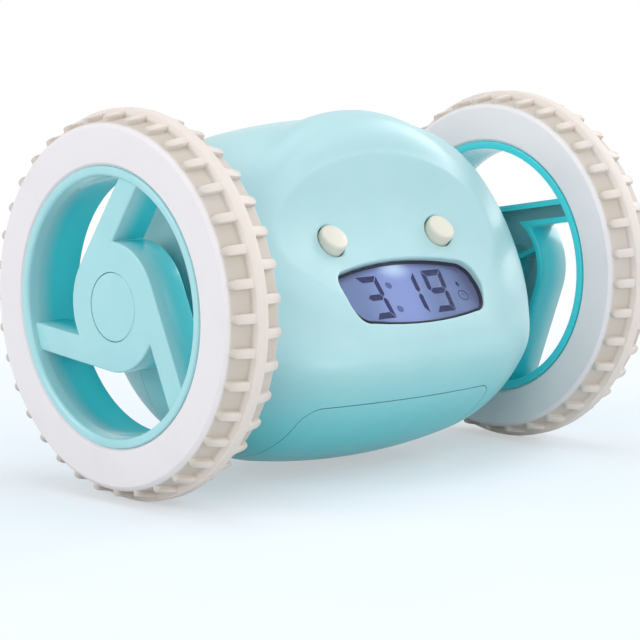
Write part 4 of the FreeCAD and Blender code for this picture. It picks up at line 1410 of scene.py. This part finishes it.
    def build(self, buttons: "Buttons") -> None:
        """Make and dress the three mouldings.

        Args:
            buttons: The buttons, for their outlines.
        """
        solid = self.hollow()
        for piece, node in ((self.front(solid, buttons), "front_shell"),
                            (self.rear(solid, buttons), "rear_shell"),
                            (self.door(solid), "battery_door")):
            dress(piece, self.finishes.shell, "casing", "shell_aqua", [node], 30.0)

    def sound_holes(self) -> list[list[Point2]]:
        """Seven small round holes in front of the speaker."""
        turns = [math.radians(60.0 * number) for number in range(6)]
        spots = [(0.0, 0.0)] + [(self.sound_ring * math.cos(t), self.sound_ring * math.sin(t)) for t in turns]
        return [circle(x, w, self.sound_hole, 24) for x, w in spots]


@dataclass
class Screws:
    """The small screws that hold the shells and the door."""

    finishes: Finishes
    upper: ClassVar[Point2] = (38.0, 25.5)
    lower: ClassVar[Point2] = (40.0, -25.5)
    door_spot: ClassVar[Point2] = (0.0, 30.0)
    shell_seat: float = 13.95
    shell_size: Point2 = (1.5, 9.4)
    door_seat: float = -29.6
    door_size: Point2 = (1.4, 6.4)
    head: float = 2.2
    stem: float = 1.1
    cross: Point2 = (1.35, 0.26)
    cross_depth: float = 0.7

    @classmethod
    def spots(cls) -> list[Point2]:
        """Where the four shell screws stand, across and up."""
        return [(side * x, z) for side in (-1, 1) for x, z in (cls.upper, cls.lower)]

    def screw(self, name: str, origin: Sequence[float], axis: Vector, size: Point2) -> Solid:
        """A pan-head screw with a cross recess.

        Args:
            name: The object's name.
            origin: Middle of the head's underside.
            axis: The way the head faces.
            size: The head's height and the stem's length.

        Returns:
            The screw.
        """
        rise, length = size
        profile = rounded([(-length, 0, 0), (-length, self.stem, 0.3), (0, self.stem, 0),
                           (0, self.head, 0.2), (rise, self.head - 0.25, 0.7), (rise, 0, 0)], 4)
        obj = Bench.lathe(name, profile, origin, axis, 40)
        turn = np.array(axis.to_track_quat("Z", "Y").to_matrix()).T
        floor, seat = metres(np.zeros(3)), metres(np.array(origin))
        for x, y in (self.cross, self.cross[::-1]):
            cutter = Bench.block("cross", Plane(0.0), (-x, -y, rise - self.cross_depth), (x, y, rise + 1.0))
            Bench.set_points(cutter, (Bench.points(cutter) - floor) @ turn + seat)
            Bench.cut(obj, cutter)
        return obj

    def build(self) -> None:
        """Make the four shell screws and the door's screw."""
        made = [self.screw("shell_screw", (x, self.shell_seat, z), Vector((0, 1, 0)), self.shell_size)
                for x, z in self.spots()]
        door = self.screw("door_screw_visible", (*self.door_spot, self.door_seat), Vector((0, 0, -1)),
                          self.door_size)
        for piece, node in ((Bench.join(made, "shell_screw_set"), "shell_screws"), (door, "door_screw")):
            dress(piece, self.finishes.steel, "casing", "steel", [node])


# ------------------------------------------------------------------- buttons

@dataclass
class Buttons:
    """The eye buttons on the face and the controls at the back."""

    finishes: Finishes
    eye_radius: float = 3.6
    eye_spread: float = 17.6
    eye_level: float = -3.45
    eye_heights: Point2 = (16.8, 24.06)
    edge: float = 0.75
    dome: float = 0.28
    collar: float = 0.8
    gap: float = 0.3
    button_radius: float = 3.4
    button_heights: Point2 = (35.0, 42.4)
    snooze_length: float = 26.0
    snooze_width: float = 7.0
    snooze_section: tuple[Point2, ...] = (
        (35.0, -0.6), (35.9, -0.6), (35.95, 0.0), (41.0, 0.0), (41.45, 0.12), (41.7, 0.42), (41.8, 0.9),
        (41.8, 1.8))
    slot_reach: Point2 = (-2.3, 6.3)
    slot_half: float = 2.0
    ridge_step: float = 1.2
    time_spot: Point2 = (-15.0, 5.0)
    alarm_spot: Point2 = (-1.0, 5.0)
    switch_spot: Point2 = (12.0, 5.0)
    snooze_spot: Point2 = (0.0, -8.0)

    def rear_openings(self) -> list[list[Point2]]:
        """Outline the openings at the back.

        Returns:
            One outline for each opening.
        """
        x, w = self.switch_spot
        (near, far), half = self.slot_reach, self.slot_half
        corners = ((near, -half), (far, -half), (far, half), (near, half))
        slot = rounded([(x + a, w + b, 0.6) for a, b in corners], 4)
        width = self.snooze_width + 2 * self.gap
        snooze = bar(self.snooze_spot, self.snooze_length + 2 * self.gap, width, width / 2 - 0.01)
        rounds = [circle(*spot, self.button_radius + self.gap) for spot in (self.time_spot, self.alarm_spot)]
        return [*rounds, snooze, slot]

    def cap(self, name: str, plane: Plane, spot: Point2, radius: float, heights: Point2) -> Solid:
        """A round button with a soft edge, a low dome and a collar below the wall.

        Args:
            name: The button's name.
            plane: The plane that it stands on.
            spot: Its place on the plane.
            radius: Its radius.
            heights: Its foot and its top above the plane.

        Returns:
            The button.
        """
        (foot, top), collar = heights, radius + self.collar
        profile = rounded([
            (foot, 0, 0), (foot, collar, 0.1), (foot + 1.0, collar, 0.1), (foot + 1.0, radius, 0),
            (top - self.dome, radius, self.edge), (top - 0.06, radius * 0.5, 3.0), (top, 0, 0)], 5)
        return Bench.lathe(name, profile, plane.point(*spot, 0.0), plane.normal(), 72)

    def finish(self, piece: Solid, body: str, node: str, angle: float = 35.0) -> None:
        """Dress a finished button."""
        dress(piece, self.finishes.cream, body, "button_cream", [node], angle)

    def build(self) -> None:
        """Make every button."""
        for side, word in ((-1, "left"), (1, "right")):
            eye = self.cap("eye_cap_" + word, FACE, (side * self.eye_spread, self.eye_level),
                           self.eye_radius, self.eye_heights)
            self.finish(eye, "eye_" + word, "eye_button_" + word)
        for word, spot in (("time", self.time_spot), ("alarm", self.alarm_spot)):
            knob = self.cap(word + "_cap", REAR, spot, self.button_radius, self.button_heights)
            self.finish(knob, word, word + "_button")
        self.finish(self.snooze(), "snooze", "snooze_button", 50.0)
        self.finish(self.switch(), "switch", "wheel_switch")

    def snooze(self) -> Solid:
        """Make the long snooze bar.

        Returns:
            The bar.
        """
        loops = []
        for h, inset in self.snooze_section:
            outline = bar(self.snooze_spot, self.snooze_length - 2 * inset, self.snooze_width - 2 * inset,
                          self.snooze_width / 2 - inset - 0.01)
            loops.append([REAR.point(x, w, h) for x, w in outline])
        return Bench.stack("snooze_cap", loops)

    def switch(self) -> Solid:
        """Make the sliding switch's knob, with three grip ridges.

        Returns:
            The knob.
        """
        x, w = self.switch_spot
        sizes = [(0.0, 4.0, 2.7, 35.6, 36.3), (0.0, 1.95, 1.6, 36.0, 41.6)]
        sizes += [(step, 0.3, 1.5, 41.4, 42.15) for step in (-self.ridge_step, 0.0, self.ridge_step)]
        parts = [Bench.bevel(Bench.block("knob_part", REAR, (x + along - a, w - b, low),
                                         (x + along + a, w + b, high)), 0.18, 2)
                 for along, a, b, low, high in sizes]
        return Bench.join(parts, "switch_knob")


# ------------------------------------------------------------------- display

class Segment(Enum):
    """The seven bars of a digit: (lies level, column, row), rows counted from the base."""

    TOP = (True, 0, 2)
    MIDDLE = (True, 0, 1)
    BOTTOM = (True, 0, 0)
    UPPER_LEFT = (False, 0, 1)
    UPPER_RIGHT = (False, 1, 1)
    LOWER_LEFT = (False, 0, 0)
    LOWER_RIGHT = (False, 1, 0)


THREE = (Segment.TOP, Segment.UPPER_RIGHT, Segment.MIDDLE, Segment.LOWER_RIGHT, Segment.BOTTOM)
ONE = (Segment.UPPER_RIGHT, Segment.LOWER_RIGHT)
NINE = (Segment.TOP, Segment.UPPER_LEFT, Segment.UPPER_RIGHT, Segment.MIDDLE, Segment.LOWER_RIGHT,
        Segment.BOTTOM)


@dataclass
class Display:
    """The clear window, the lit panel behind it, and the time that it shows."""

    finishes: Finishes
    window_top: float = 19.6
    window_back: float = 18.9
    window_margin: float = -0.52
    # The dark ring of painted shade inside the opening: its foot, top and margins.
    shade_ring_foot: float = 17.15
    shade_ring_top: float = 19.6
    shade_ring_margins: Point2 = (-0.16, -0.46)
    room_foot: float = 16.5
    panel_top: float = 18.8
    panel_margin: float = -0.6
    plate_top: float = 17.0
    plate_bottom: float = 14.5
    half_width: float = 22.5
    low: float = -27.8
    high: float = -8.2
    digit_width: float = 6.25
    digit_height: float = 12.3
    upright: float = 1.3
    level: float = 1.7
    gap: float = 0.16
    lean: float = 8.2
    fan: float = 0.38
    digit_middle: float = -18.5
    digit_places: tuple[float, ...] = (-14.2, -2.5, 6.25)
    colon: tuple[Point2, ...] = ((-5.1, -15.5), (-5.9, -22.4))
    dot: float = 0.95
    dial_spot: Point2 = (16.3, -20.65)
    dial_radius: float = 1.5
    dial_line: float = 0.24
    bell_spot: Point2 = (16.6, -17.2)
    ink: float = 0.05

    def slant(self, x: float, w: float) -> Point2:
        """A point of a digit, leaned over; the digits fan out a little across the panel."""
        turn = math.radians(self.lean + self.fan * x)
        return (x + (w - self.digit_middle) * math.tan(turn), w)

    def solid(self, name: str, outline: Sequence[Point2], heights: Sequence[float]) -> Solid:
        """An outline on the face, raised through a row of heights."""
        return Bench.stack(name, [[FACE.point(x, w, h) for x, w in outline] for h in heights])

    def strip(self, name: str, outline: Sequence[Point2]) -> Solid:
        """A thin raised shape on the panel."""
        return self.solid(name, outline, (self.panel_top - 0.02, self.panel_top + self.ink))

    def bar_outline(self, part: Segment) -> list[Point2]:
        """A bar's outline, its ends mitred against its neighbours.

        Args:
            part: The bar.

        Returns:
            Its points, from the lower left corner of the digit's own cell.
        """
        width, height, gap = self.digit_width, self.digit_height, self.gap
        across, up, middle = self.upright, self.level, self.digit_height / 2
        lies_level, column, row = part.value
        if lies_level and row == 1:
            tip, bevel = across / 2 + gap, 0.8
            near, far = tip + bevel, width - tip - bevel
            return [(tip, middle), (near, middle - up / 2), (far, middle - up / 2),
                    (width - tip, middle), (far, middle + up / 2), (near, middle + up / 2)]
        if lies_level:
            outline = [(gap, 0.0), (width - gap, 0.0), (width - across - gap, up), (across + gap, up)]
        else:
            outline = [(0.0, gap + 0.1), (across, up + gap), (across, middle - up / 2 - gap / 2),
                       (across / 2, middle - gap), (0.0, middle - up / 2)]
        if column == 1:
            outline = [(width - x, w) for x, w in outline]
        if row > 0:
            outline = [(x, height - w) for x, w in outline]
        return outline

    def digit(self, bars: Sequence[Segment], left: float) -> list[Solid]:
        """One digit made of its bars.

        Args:
            bars: The bars that are lit.
            left: Its left edge across the face, at half its height.

        Returns:
            The bars as thin solids.
        """
        base = self.digit_middle - self.digit_height / 2
        return [self.strip("bar", [self.slant(left + x, base + w) for x, w in self.bar_outline(part)])
                for part in bars]

    def bell(self) -> list[Solid]:
        """Make a small bell sign.

        Returns:
            Its pieces.
        """
        x, w = self.bell_spot
        dome = [(x - 0.6, w - 0.5), (x + 0.6, w - 0.5), (x + 0.42, w - 0.25)]
        dome += arc_through((x + 0.35, w + 0.1), (x, w + 0.6), (x - 0.35, w + 0.1), 8)
        dome += [(x - 0.42, w - 0.25)]
        return [self.strip("bell", dome), self.strip("bell_tongue", circle(x, w - 0.75, 0.16, 16))]

    def dial(self) -> list[Solid]:
        """Make a small clock sign: a ring and two hands.

        Returns:
            Its pieces.
        """
        x, w = self.dial_spot
        ring = self.strip("dial_ring", circle(x, w, self.dial_radius, 40))
        Bench.cut(ring, self.solid("dial_hole", circle(x, w, self.dial_radius - self.dial_line, 40),
                                   (self.panel_top - 1.0, self.panel_top + 1.0)))
        corner = (x - 0.1, w - 0.1)
        hands = [self.strip("dial_hand", [corner, (x + a, corner[1]), (x + a, w + b), (corner[0], w + b)])
                 for a, b in ((0.1, 0.6), (0.5, 0.1))]
        return [ring, *hands]

    def window(self) -> Solid:
        """Make the clear pane, with its skirt behind the face.

        Returns:
            The pane.
        """
        top = self.window_top
        loops = [[FACE.point(x, w, h) for x, w in mouth(grow)] for h, grow in (
            (17.1, 1.0), (18.0, 1.0), (18.02, -0.12), (top - 0.2, -0.12), (top - 0.05, -0.18), (top, -0.34))]
        room = self.solid("window_room", mouth(self.window_margin), (self.room_foot, self.window_back))
        return Bench.cut(Bench.stack("clear_window", loops), room)

    def panel(self) -> Solid:
        """Make the panel: a plate with the glass that stands up into the opening.

        Returns:
            The panel.
        """
        plate = Bench.block("lit_panel", FACE, (-self.half_width, self.low, self.plate_bottom),
                            (self.half_width, self.high, self.plate_top))
        Bench.bevel(plate, 0.15, 2)
        glass = self.solid("panel_glass", mouth(self.panel_margin), (self.plate_top - 0.3, self.panel_top))
        return Bench.boolean(plate, glass, "UNION")

    def build(self) -> None:
        """Make the window, the panel and the signs."""
        made = self.finishes
        dress(self.window(), made.pane, "casing", "window_clear", ["display_window"], 50.0)
        # Painted shade: a dark ring stands inside the opening's wall, below the face, where that wall lies in
        # shade.
        outer, inner = self.shade_ring_margins
        shade_ring = self.solid("window_shade_ring", mouth(outer), (self.shade_ring_foot, self.shade_ring_top))
        Bench.cut(shade_ring, self.solid("shade_ring_room", mouth(inner), (self.room_foot, self.shade_ring_top + 0.4)))
        dress(shade_ring, made.shade_ring, "casing", "chip_black", (), 50.0)
        dress(self.panel(), made.panel, "casing", "lcd_glass", ["lcd_panel"])
        digits = [piece for bars, left in zip((THREE, ONE, NINE), self.digit_places)
                  for piece in self.digit(bars, left)]
        dots = [self.strip("colon", circle(*spot, self.dot, 24)) for spot in self.colon]
        for name, signs, ink in (("time_digits", digits, made.ink), ("faint_signs", dots, made.faint_ink),
                                 ("alarm_sign", self.dial() + self.bell(), made.ink)):
            dress(Bench.join(signs, name), ink, "casing", "lcd_glass")


# -------------------------------------------------------------------- wheels

@dataclass
class Wheel:
    """One big wheel: a soft lugged tyre on a pinwheel rim."""

    finishes: Finishes
    side: int
    word: str
    first_spoke: float
    first_lug: float
    width: float = 15.3
    bead: float = 31.8
    side_radius: float = 40.4
    tread_edge: float = 41.5
    tread: float = 42.3
    ridge: float = 44.5
    ridge_width: float = 2.9
    lugs: int = 36
    lug_width: float = 2.3
    lug_edge: float = 42.7
    lug_top: float = 43.9
    lug_start: float = 0.75
    lug_sink: float = 0.3
    lug_section: tuple[Point2, ...] = ((3.0, 0.0), (0.42, 0.0), (0.12, 0.12), (0.0, 0.42))
    bore: float = 29.3
    hub: float = 14.8
    recess: float = 1.7
    spoke_low: float = 8.7
    spoke_depth: float = 9.5
    wall: float = 1.5
    cap_radius: float = 7.8
    cap_gap: float = 0.15
    boss: float = 4.6
    axle: float = 2.0
    rib: float = 0.6
    rib_start: float = 3.8
    rib_depths: Point2 = (1.0, 7.5)
    rib_turn: float = 15.0
    steps: int = 180

    def x(self, depth: float) -> float:
        """X of a depth below the wheel's outer plane."""
        return self.side * (HALF_WIDTH - depth)

    def lathe(self, name: str, profile: Sequence[Point2], steps: Optional[int] = None) -> Solid:
        """Turn a profile of depths and radii about the axle."""
        line = [(self.x(d), r) for d, r in profile]
        return Bench.lathe(name, line, (0, 0, 0), Vector((1, 0, 0)), steps or self.steps)

    def spoke_turns(self) -> list[float]:
        """The three spokes' directions, in radians."""
        return [math.radians(self.first_spoke + 120.0 * number) for number in range(3)]

    def tyre_ring(self) -> Solid:
        """Make the tyre's carcass with its middle ridge.

        Returns:
            The carcass.
        """
        middle, half = self.width / 2, self.ridge_width / 2
        right = [(0.8, self.bead, 0.1), (0.0, self.bead + 0.7, 0.35), (0.0, self.side_radius, 0.45),
                 (1.0, self.tread_edge, 0.5), (middle - half - 0.35, self.tread, 0.3),
                 (middle - half, self.ridge, 0.45)]
        left = [(self.width - d, r, c) for d, r, c in reversed(right)]
        return self.lathe("tyre_ring", rounded(right + left, 4))

    def lug(self, near: float, far: float) -> Solid:
        """One tread lug at the top of the wheel, round at its outer end.

        Args:
            near: Depth of its outer end.
            far: Depth of its inner end, in the ridge.

        Returns:
            The lug.
        """
        half = self.lug_width / 2
        step = 1.0 if far > near else -1.0
        end = [(near + step * half * (1 - math.cos(a)), half * math.sin(a))
               for a in np.radians([-90.0, -60.0, -30.0, 0.0, 30.0, 60.0, 90.0])]
        outline = end + [(far, half), (far, -half)]
        reach = abs(far - near)

        def top(depth: float) -> float:
            """The lug's height, sloping up to the ridge."""
            return self.lug_edge + (self.lug_top - self.lug_edge) * abs(depth - near) / reach

        loops = []
        for drop, inset in self.lug_section:
            share = 1 - inset / half
            rounded_end = [(near + step * (half - (half - abs(d - near)) * share)
                            if abs(d - near) <= half else d, w * share) for d, w in outline]
            loops.append([(self.x(d), w, top(d) - drop) for d, w in rounded_end])
        return Bench.stack("lug", loops)

    def tyre(self) -> Solid:
        """Make the whole tyre: the carcass and two staggered rows of lugs.

        Returns:
            The tyre.
        """
        parts = [self.tyre_ring()]
        middle, half = self.width / 2, self.ridge_width / 2
        pitch = math.tau / self.lugs
        first = math.radians(self.first_lug)
        centre = Matrix.Translation((0, 0, AXLE_HEIGHT * MM))
        near, far = self.lug_start, middle - half + self.lug_sink
        for near, far, start in ((near, far, first),
                                 (self.width - near, self.width - far, first + pitch / 2)):
            lug = self.lug(near, far)
            for number in range(self.lugs):
                turn = centre @ Matrix.Rotation(start + pitch * number, 4, "X") @ centre.inverted()
                parts.append(Bench.copy(lug, turn))
            bpy.data.objects.remove(lug)
        return Bench.join(parts, "tyre_%s_moulded" % self.word)

    def star(self, hub: float, low: float, reach: float, steps: int = 12) -> list[Point2]:
        """The hub with its three one-sided spokes, as (y, z) points.

        Args:
            hub: The hub's radius, which is also each spoke's far side.
            low: Offset of each spoke's near side.
            reach: How far out the spokes go.
            steps: Chords of each arc.

        Returns:
            The closed outline.
        """
        points: list[Point2] = []

        def place(angle: float, along: float, offset: float) -> Point2:
            """A point along and beside a spoke's direction."""
            c, s = math.cos(angle), math.sin(angle)
            return (-(along * c - offset * s), along * s + offset * c)

        for angle in self.spoke_turns():
            points.append(place(angle, math.sqrt(hub**2 - low**2), low))
            a0, a1 = math.asin(low / reach), math.asin(hub / reach)
            for n in range(5):
                turn = angle + a0 + (a1 - a0) * n / 4
                points.append((-reach * math.cos(turn), reach * math.sin(turn)))
            start = angle + math.pi / 2
            stop = angle + math.radians(120.0) + math.asin(low / hub)
            for n in range(steps):
                turn = start + (stop - start) * n / steps
                points.append((-hub * math.cos(turn), hub * math.sin(turn)))
        return points

    def prism(self, name: str, outline: Sequence[Point2], start: float, stop: float) -> Solid:
        """An outline extruded along the axle between two depths."""
        return Bench.stack(name, [[(self.x(d), y, z) for y, z in outline] for d in (start, stop)])

    def star_body(self) -> Solid:
        """Make the pinwheel, hollow from behind, with the seat of its cap.

        Returns:
            The pinwheel.
        """
        body = self.prism("rim_star", self.star(self.hub, self.spoke_low, self.bore + 1.3),
                          self.recess, self.recess + self.spoke_depth)
        Bench.bevel(body, 0.45, 3, 50.0)
        room = self.star(self.hub - self.wall, self.spoke_low + self.wall, self.bore - 0.1)
        seat, depth = self.cap_radius + self.cap_gap, self.recess + 1.0
        return Bench.cut(
            body,
            self.prism("rim_hollow", room, self.recess + self.wall, self.recess + self.spoke_depth + 2.0),
            self.lathe("cap_seat", [(-1.0, 0.0), (-1.0, seat), (depth, seat), (depth, 0.0)], 96))

    def rim_rib(self, turn: float) -> Solid:
        """Make one rib between the boss and the hub's wall.

        Args:
            turn: Its turn about the axle, in radians.

        Returns:
            The rib.
        """
        c, s = math.cos(turn), math.sin(turn)
        start, end, half = self.rib_start, self.hub - 1.0, self.rib
        corners = ((start, -half), (end, -half), (end, half), (start, half))
        near, far = self.rib_depths
        return self.prism("rim_rib", [(-(a * c - b * s), a * s + b * c) for a, b in corners],
                          self.recess + near, self.recess + far)

    def rim(self) -> Solid:
        """Make the rim: a barrel with a rounded lip, and the hollow pinwheel.

        Returns:
            The rim.
        """
        barrel = self.lathe("rim_barrel", rounded([
            (self.width, self.bore + 0.7, 0.25), (3.0, self.bore, 2.0), (0.0, self.bore + 0.35, 1.0),
            (0.0, self.bead - 0.02, 0.5), (0.9, self.bead, 0.3), (self.width, self.bead, 0.25)], 6))
        body = self.star_body()
        start, deep, bore = self.recess + 1.2, self.width - 2.5, self.axle + 0.05
        boss = self.lathe("rim_boss", rounded([(start, bore, 0), (start, self.boss, 0),
                                               (deep, self.boss, 0.4), (deep, bore, 0)], 3), 64)
        ribs = [self.rim_rib(turn + math.radians(self.rib_turn)) for turn in self.spoke_turns()]
        return Bench.join([barrel, body, boss, *ribs], "rim_%s_moulded" % self.word)

    def cap(self) -> Solid:
        """Make the flat round cap over the hub's screw.

        Returns:
            The cap.
        """
        foot, top = self.recess + 0.98, self.recess - 0.06
        profile = rounded([(foot, 0, 0), (foot, self.cap_radius, 0.05),
                           (self.recess, self.cap_radius, 0.28), (top, 2.0, 2.0), (top, 0, 0)], 5)
        return self.lathe("cap_%s_moulded" % self.word, profile, 96)

    def build(self) -> None:
        """Make and dress the wheel's visible pieces."""
        made = self.finishes
        for piece, finish, slot, node in ((self.tyre(), made.tyre, "tyre_white", "tyre_"),
                                          (self.rim(), made.wheel, "wheel_aqua", "rim_"),
                                          (self.cap(), made.wheel, "wheel_aqua", "hub_cap_")):
            dress(piece, finish, "wheel_" + self.word, slot, [node + self.word], 40.0)


# --------------------------------------------------------------- inner pieces

@dataclass
class InnerParts:
    """The CAD pieces that stay as they are and get a finish."""

    finishes: Finishes

    def table(self) -> list[tuple[bpy.types.Material, str]]:
        """List the finishes of the kept pieces.

        Returns:
            Each finish with its pieces' names; a name with a dash stands on both sides.
        """
        f = self.finishes
        return [(f.guide, "backlight"), (f.board, "main_board rear_board"),
                (f.chip, "board_chips eye_switches rear_switches"), (f.can, "speaker motor-"),
                (f.black, "battery_tray drive_frame-"), (f.wrap, "battery_cells"),
                (f.spring, "battery_contacts battery_springs pinion-"),
                (f.steel, "axle- axle_screw- motor_shaft- idler_pin-"),
                (f.acetal, "idler_gear- axle_gear- axle_bush-")]

    def build(self) -> None:
        """Give each kept piece its finish."""
        for material, names in self.table():
            for name in names.split():
                for side in ("_left", "_right") if name.endswith("-") else ("",):
                    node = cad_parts[name.rstrip("-") + side]
                    node.data.materials.clear()
                    node.data.materials.append(material)
                    LOG.info("%s: finish %s", node.name, material.name)


# -------------------------------------------------------------------- studio

@dataclass(frozen=True)
class Lamp:
    """A square soft lamp that looks at the clock; place and size in metres, power in watts."""

    name: str
    place: Point3
    size: float
    power: float

    def build(self) -> None:
        """Hang the lamp."""
        data = bpy.data.lights.new(self.name, "AREA")
        data.shape = "SQUARE"
        data.size = self.size
        data.energy = self.power
        made = bpy.data.objects.new(self.name, data)
        bpy.context.scene.collection.objects.link(made)
        target = Vector((0.0, 0.0, AXLE_HEIGHT * MM))
        made.location = self.place
        made.rotation_euler = (target - Vector(self.place)).to_track_quat("-Z", "Y").to_euler()


@dataclass
class Studio:
    """A pale floor, soft lamps and the camera; lengths are metres here."""

    camera_place: Point3 = (-0.42509, -0.45380, 0.11867)
    camera_right: Point3 = (0.73333, -0.67987, 0.0)
    camera_up: Point3 = (0.09019, 0.09728, 0.99116)
    lens: float = 145.66
    clip: Point2 = (0.01, 60.0)
    floor_size: float = 40.0
    floor_tones: tuple[Colour, Colour] = ((216, 220, 223), (212, 216, 220))
    shown_tones: tuple[Colour, Colour] = ((232, 245, 255), (228, 242, 253))
    sky: Colour = (244, 249, 255)
    floor_white: float = 0.45
    floor_near: float = 0.10
    floor_far: float = 0.34
    ambient: float = 0.48
    lamps: tuple[Lamp, ...] = (
        Lamp("side", (-0.9, 0.4, 0.5), 0.6, 4.0), Lamp("low", (-0.9, -0.5, 0.25), 0.5, 2.0),
        Lamp("top", (0.0, 0.0, 1.1), 0.8, 3.0), Lamp("front", (0.35, -0.75, 0.85), 0.5, 1.7),
        Lamp("front_low", (0.1, -1.0, 0.16), 0.4, 2.2), Lamp("far_side", (0.9, -0.1, 0.45), 0.5, 3.4))

    def camera(self) -> None:
        """Put the camera at its place."""
        data = bpy.data.cameras.new("camera")
        data.lens = self.lens
        data.sensor_width = 36.0
        data.clip_start, data.clip_end = self.clip
        made = bpy.data.objects.new("camera", data)
        bpy.context.scene.collection.objects.link(made)
        right, up = Vector(self.camera_right), Vector(self.camera_up)
        turn = Matrix((right, up, right.cross(up))).transposed().to_4x4()
        made.matrix_world = Matrix.Translation(self.camera_place) @ turn
        bpy.context.scene.camera = made

    @staticmethod
    def seen(tree: bpy.types.NodeTree) -> bpy.types.NodeSocket:
        """Which rays show a surround: straight, mirrored or through glass.

        Args:
            tree: The node tree to add to.

        Returns:
            A link that is 1 for those rays and 0 for the others.
        """
        path = tree.nodes.new("ShaderNodeLightPath")
        share = path.outputs["Is Camera Ray"]
        for name in ("Is Glossy Ray", "Is Transmission Ray"):
            node = tree.nodes.new("ShaderNodeMath")
            node.operation = "MAXIMUM"
            tree.links.new(share, node.inputs[0])
            tree.links.new(path.outputs[name], node.inputs[1])
            share = node.outputs[0]
        return share

    def floor(self) -> None:
        """The pale floor, white to the eye but for the clock's shadow."""
        Bench.clear()
        bpy.ops.mesh.primitive_plane_add(size=self.floor_size)
        floor = bpy.context.object
        floor.name = "floor"
        shader = Shader("floor_white")
        speck = shader.noise(30.0, 2.0)
        tone, shown_tone = (shader.mix(speck, *(srgb(*colour) for colour in pair))
                            for pair in (self.floor_tones, self.shown_tones))
        lit = shader.finish(Base_Color=tone, Roughness=0.7, Specular_IOR_Level=0.2)
        bright = shader.node("ShaderNodeBsdfDiffuse", None, {"Color": shown_tone})
        plain = shader.node("ShaderNodeEmission", None, {"Color": (1.0, 1.0, 1.0, 1.0), "Strength": 1.0})
        x, y, _ = shader.axes()
        away = (x * x + y * y).root().fade(self.floor_near, self.floor_far)
        white = self.floor_white + (1.0 - self.floor_white) * away
        shown = shader.node("ShaderNodeMixShader", None, {0: white, 1: bright.outputs[0],
                                                          2: plain.outputs[0]})
        whole = shader.node("ShaderNodeMixShader", None, {0: self.seen(shader.tree),
                                                          1: shader.surface.outputs[0],
                                                          2: shown.outputs[0]})
        shader.tree.links.new(whole.outputs[0], shader.output.inputs["Surface"])
        floor.data.materials.append(lit)

    def world(self) -> None:
        """An even white surround, plain white where it is seen."""
        world = bpy.data.worlds.new("surround")
        bpy.context.scene.world = world
        world.use_nodes = True
        tree = world.node_tree
        tree.nodes.clear()
        output = tree.nodes.new("ShaderNodeOutputWorld")
        shown, lit = tree.nodes.new("ShaderNodeBackground"), tree.nodes.new("ShaderNodeBackground")
        shown.inputs[0].default_value = (1.0, 1.0, 1.0, 1.0)
        lit.inputs[0].default_value = srgb(*self.sky)
        lit.inputs[1].default_value = self.ambient
        mix = tree.nodes.new("ShaderNodeMixShader")
        tree.links.new(self.seen(tree), mix.inputs[0])
        tree.links.new(lit.outputs[0], mix.inputs[1])
        tree.links.new(shown.outputs[0], mix.inputs[2])
        tree.links.new(mix.outputs[0], output.inputs[0])

    def build(self) -> None:
        """Make the whole studio."""
        self.camera()
        self.floor()
        self.world()
        for lamp in self.lamps:
            lamp.build()
        bpy.context.scene.view_settings.view_transform = "Standard"


def main() -> None:
    """Build the whole scene."""
    logging.basicConfig(level=logging.INFO, format="%(message)s")
    Studio().build()
    finishes = Finishes()
    for side, word, first_spoke, first_lug in ((-1, "left", 55.0, -1.7), (1, "right", 9.4, -3.5)):
        Wheel(finishes, side, word, first_spoke, first_lug).build()
    buttons = Buttons(finishes)
    buttons.build()
    Display(finishes).build()
    Casing(finishes).build(buttons)
    Screws(finishes).build()
    InnerParts(finishes).build()
    Bench.clear()


if __name__ == "__main__":
    main()
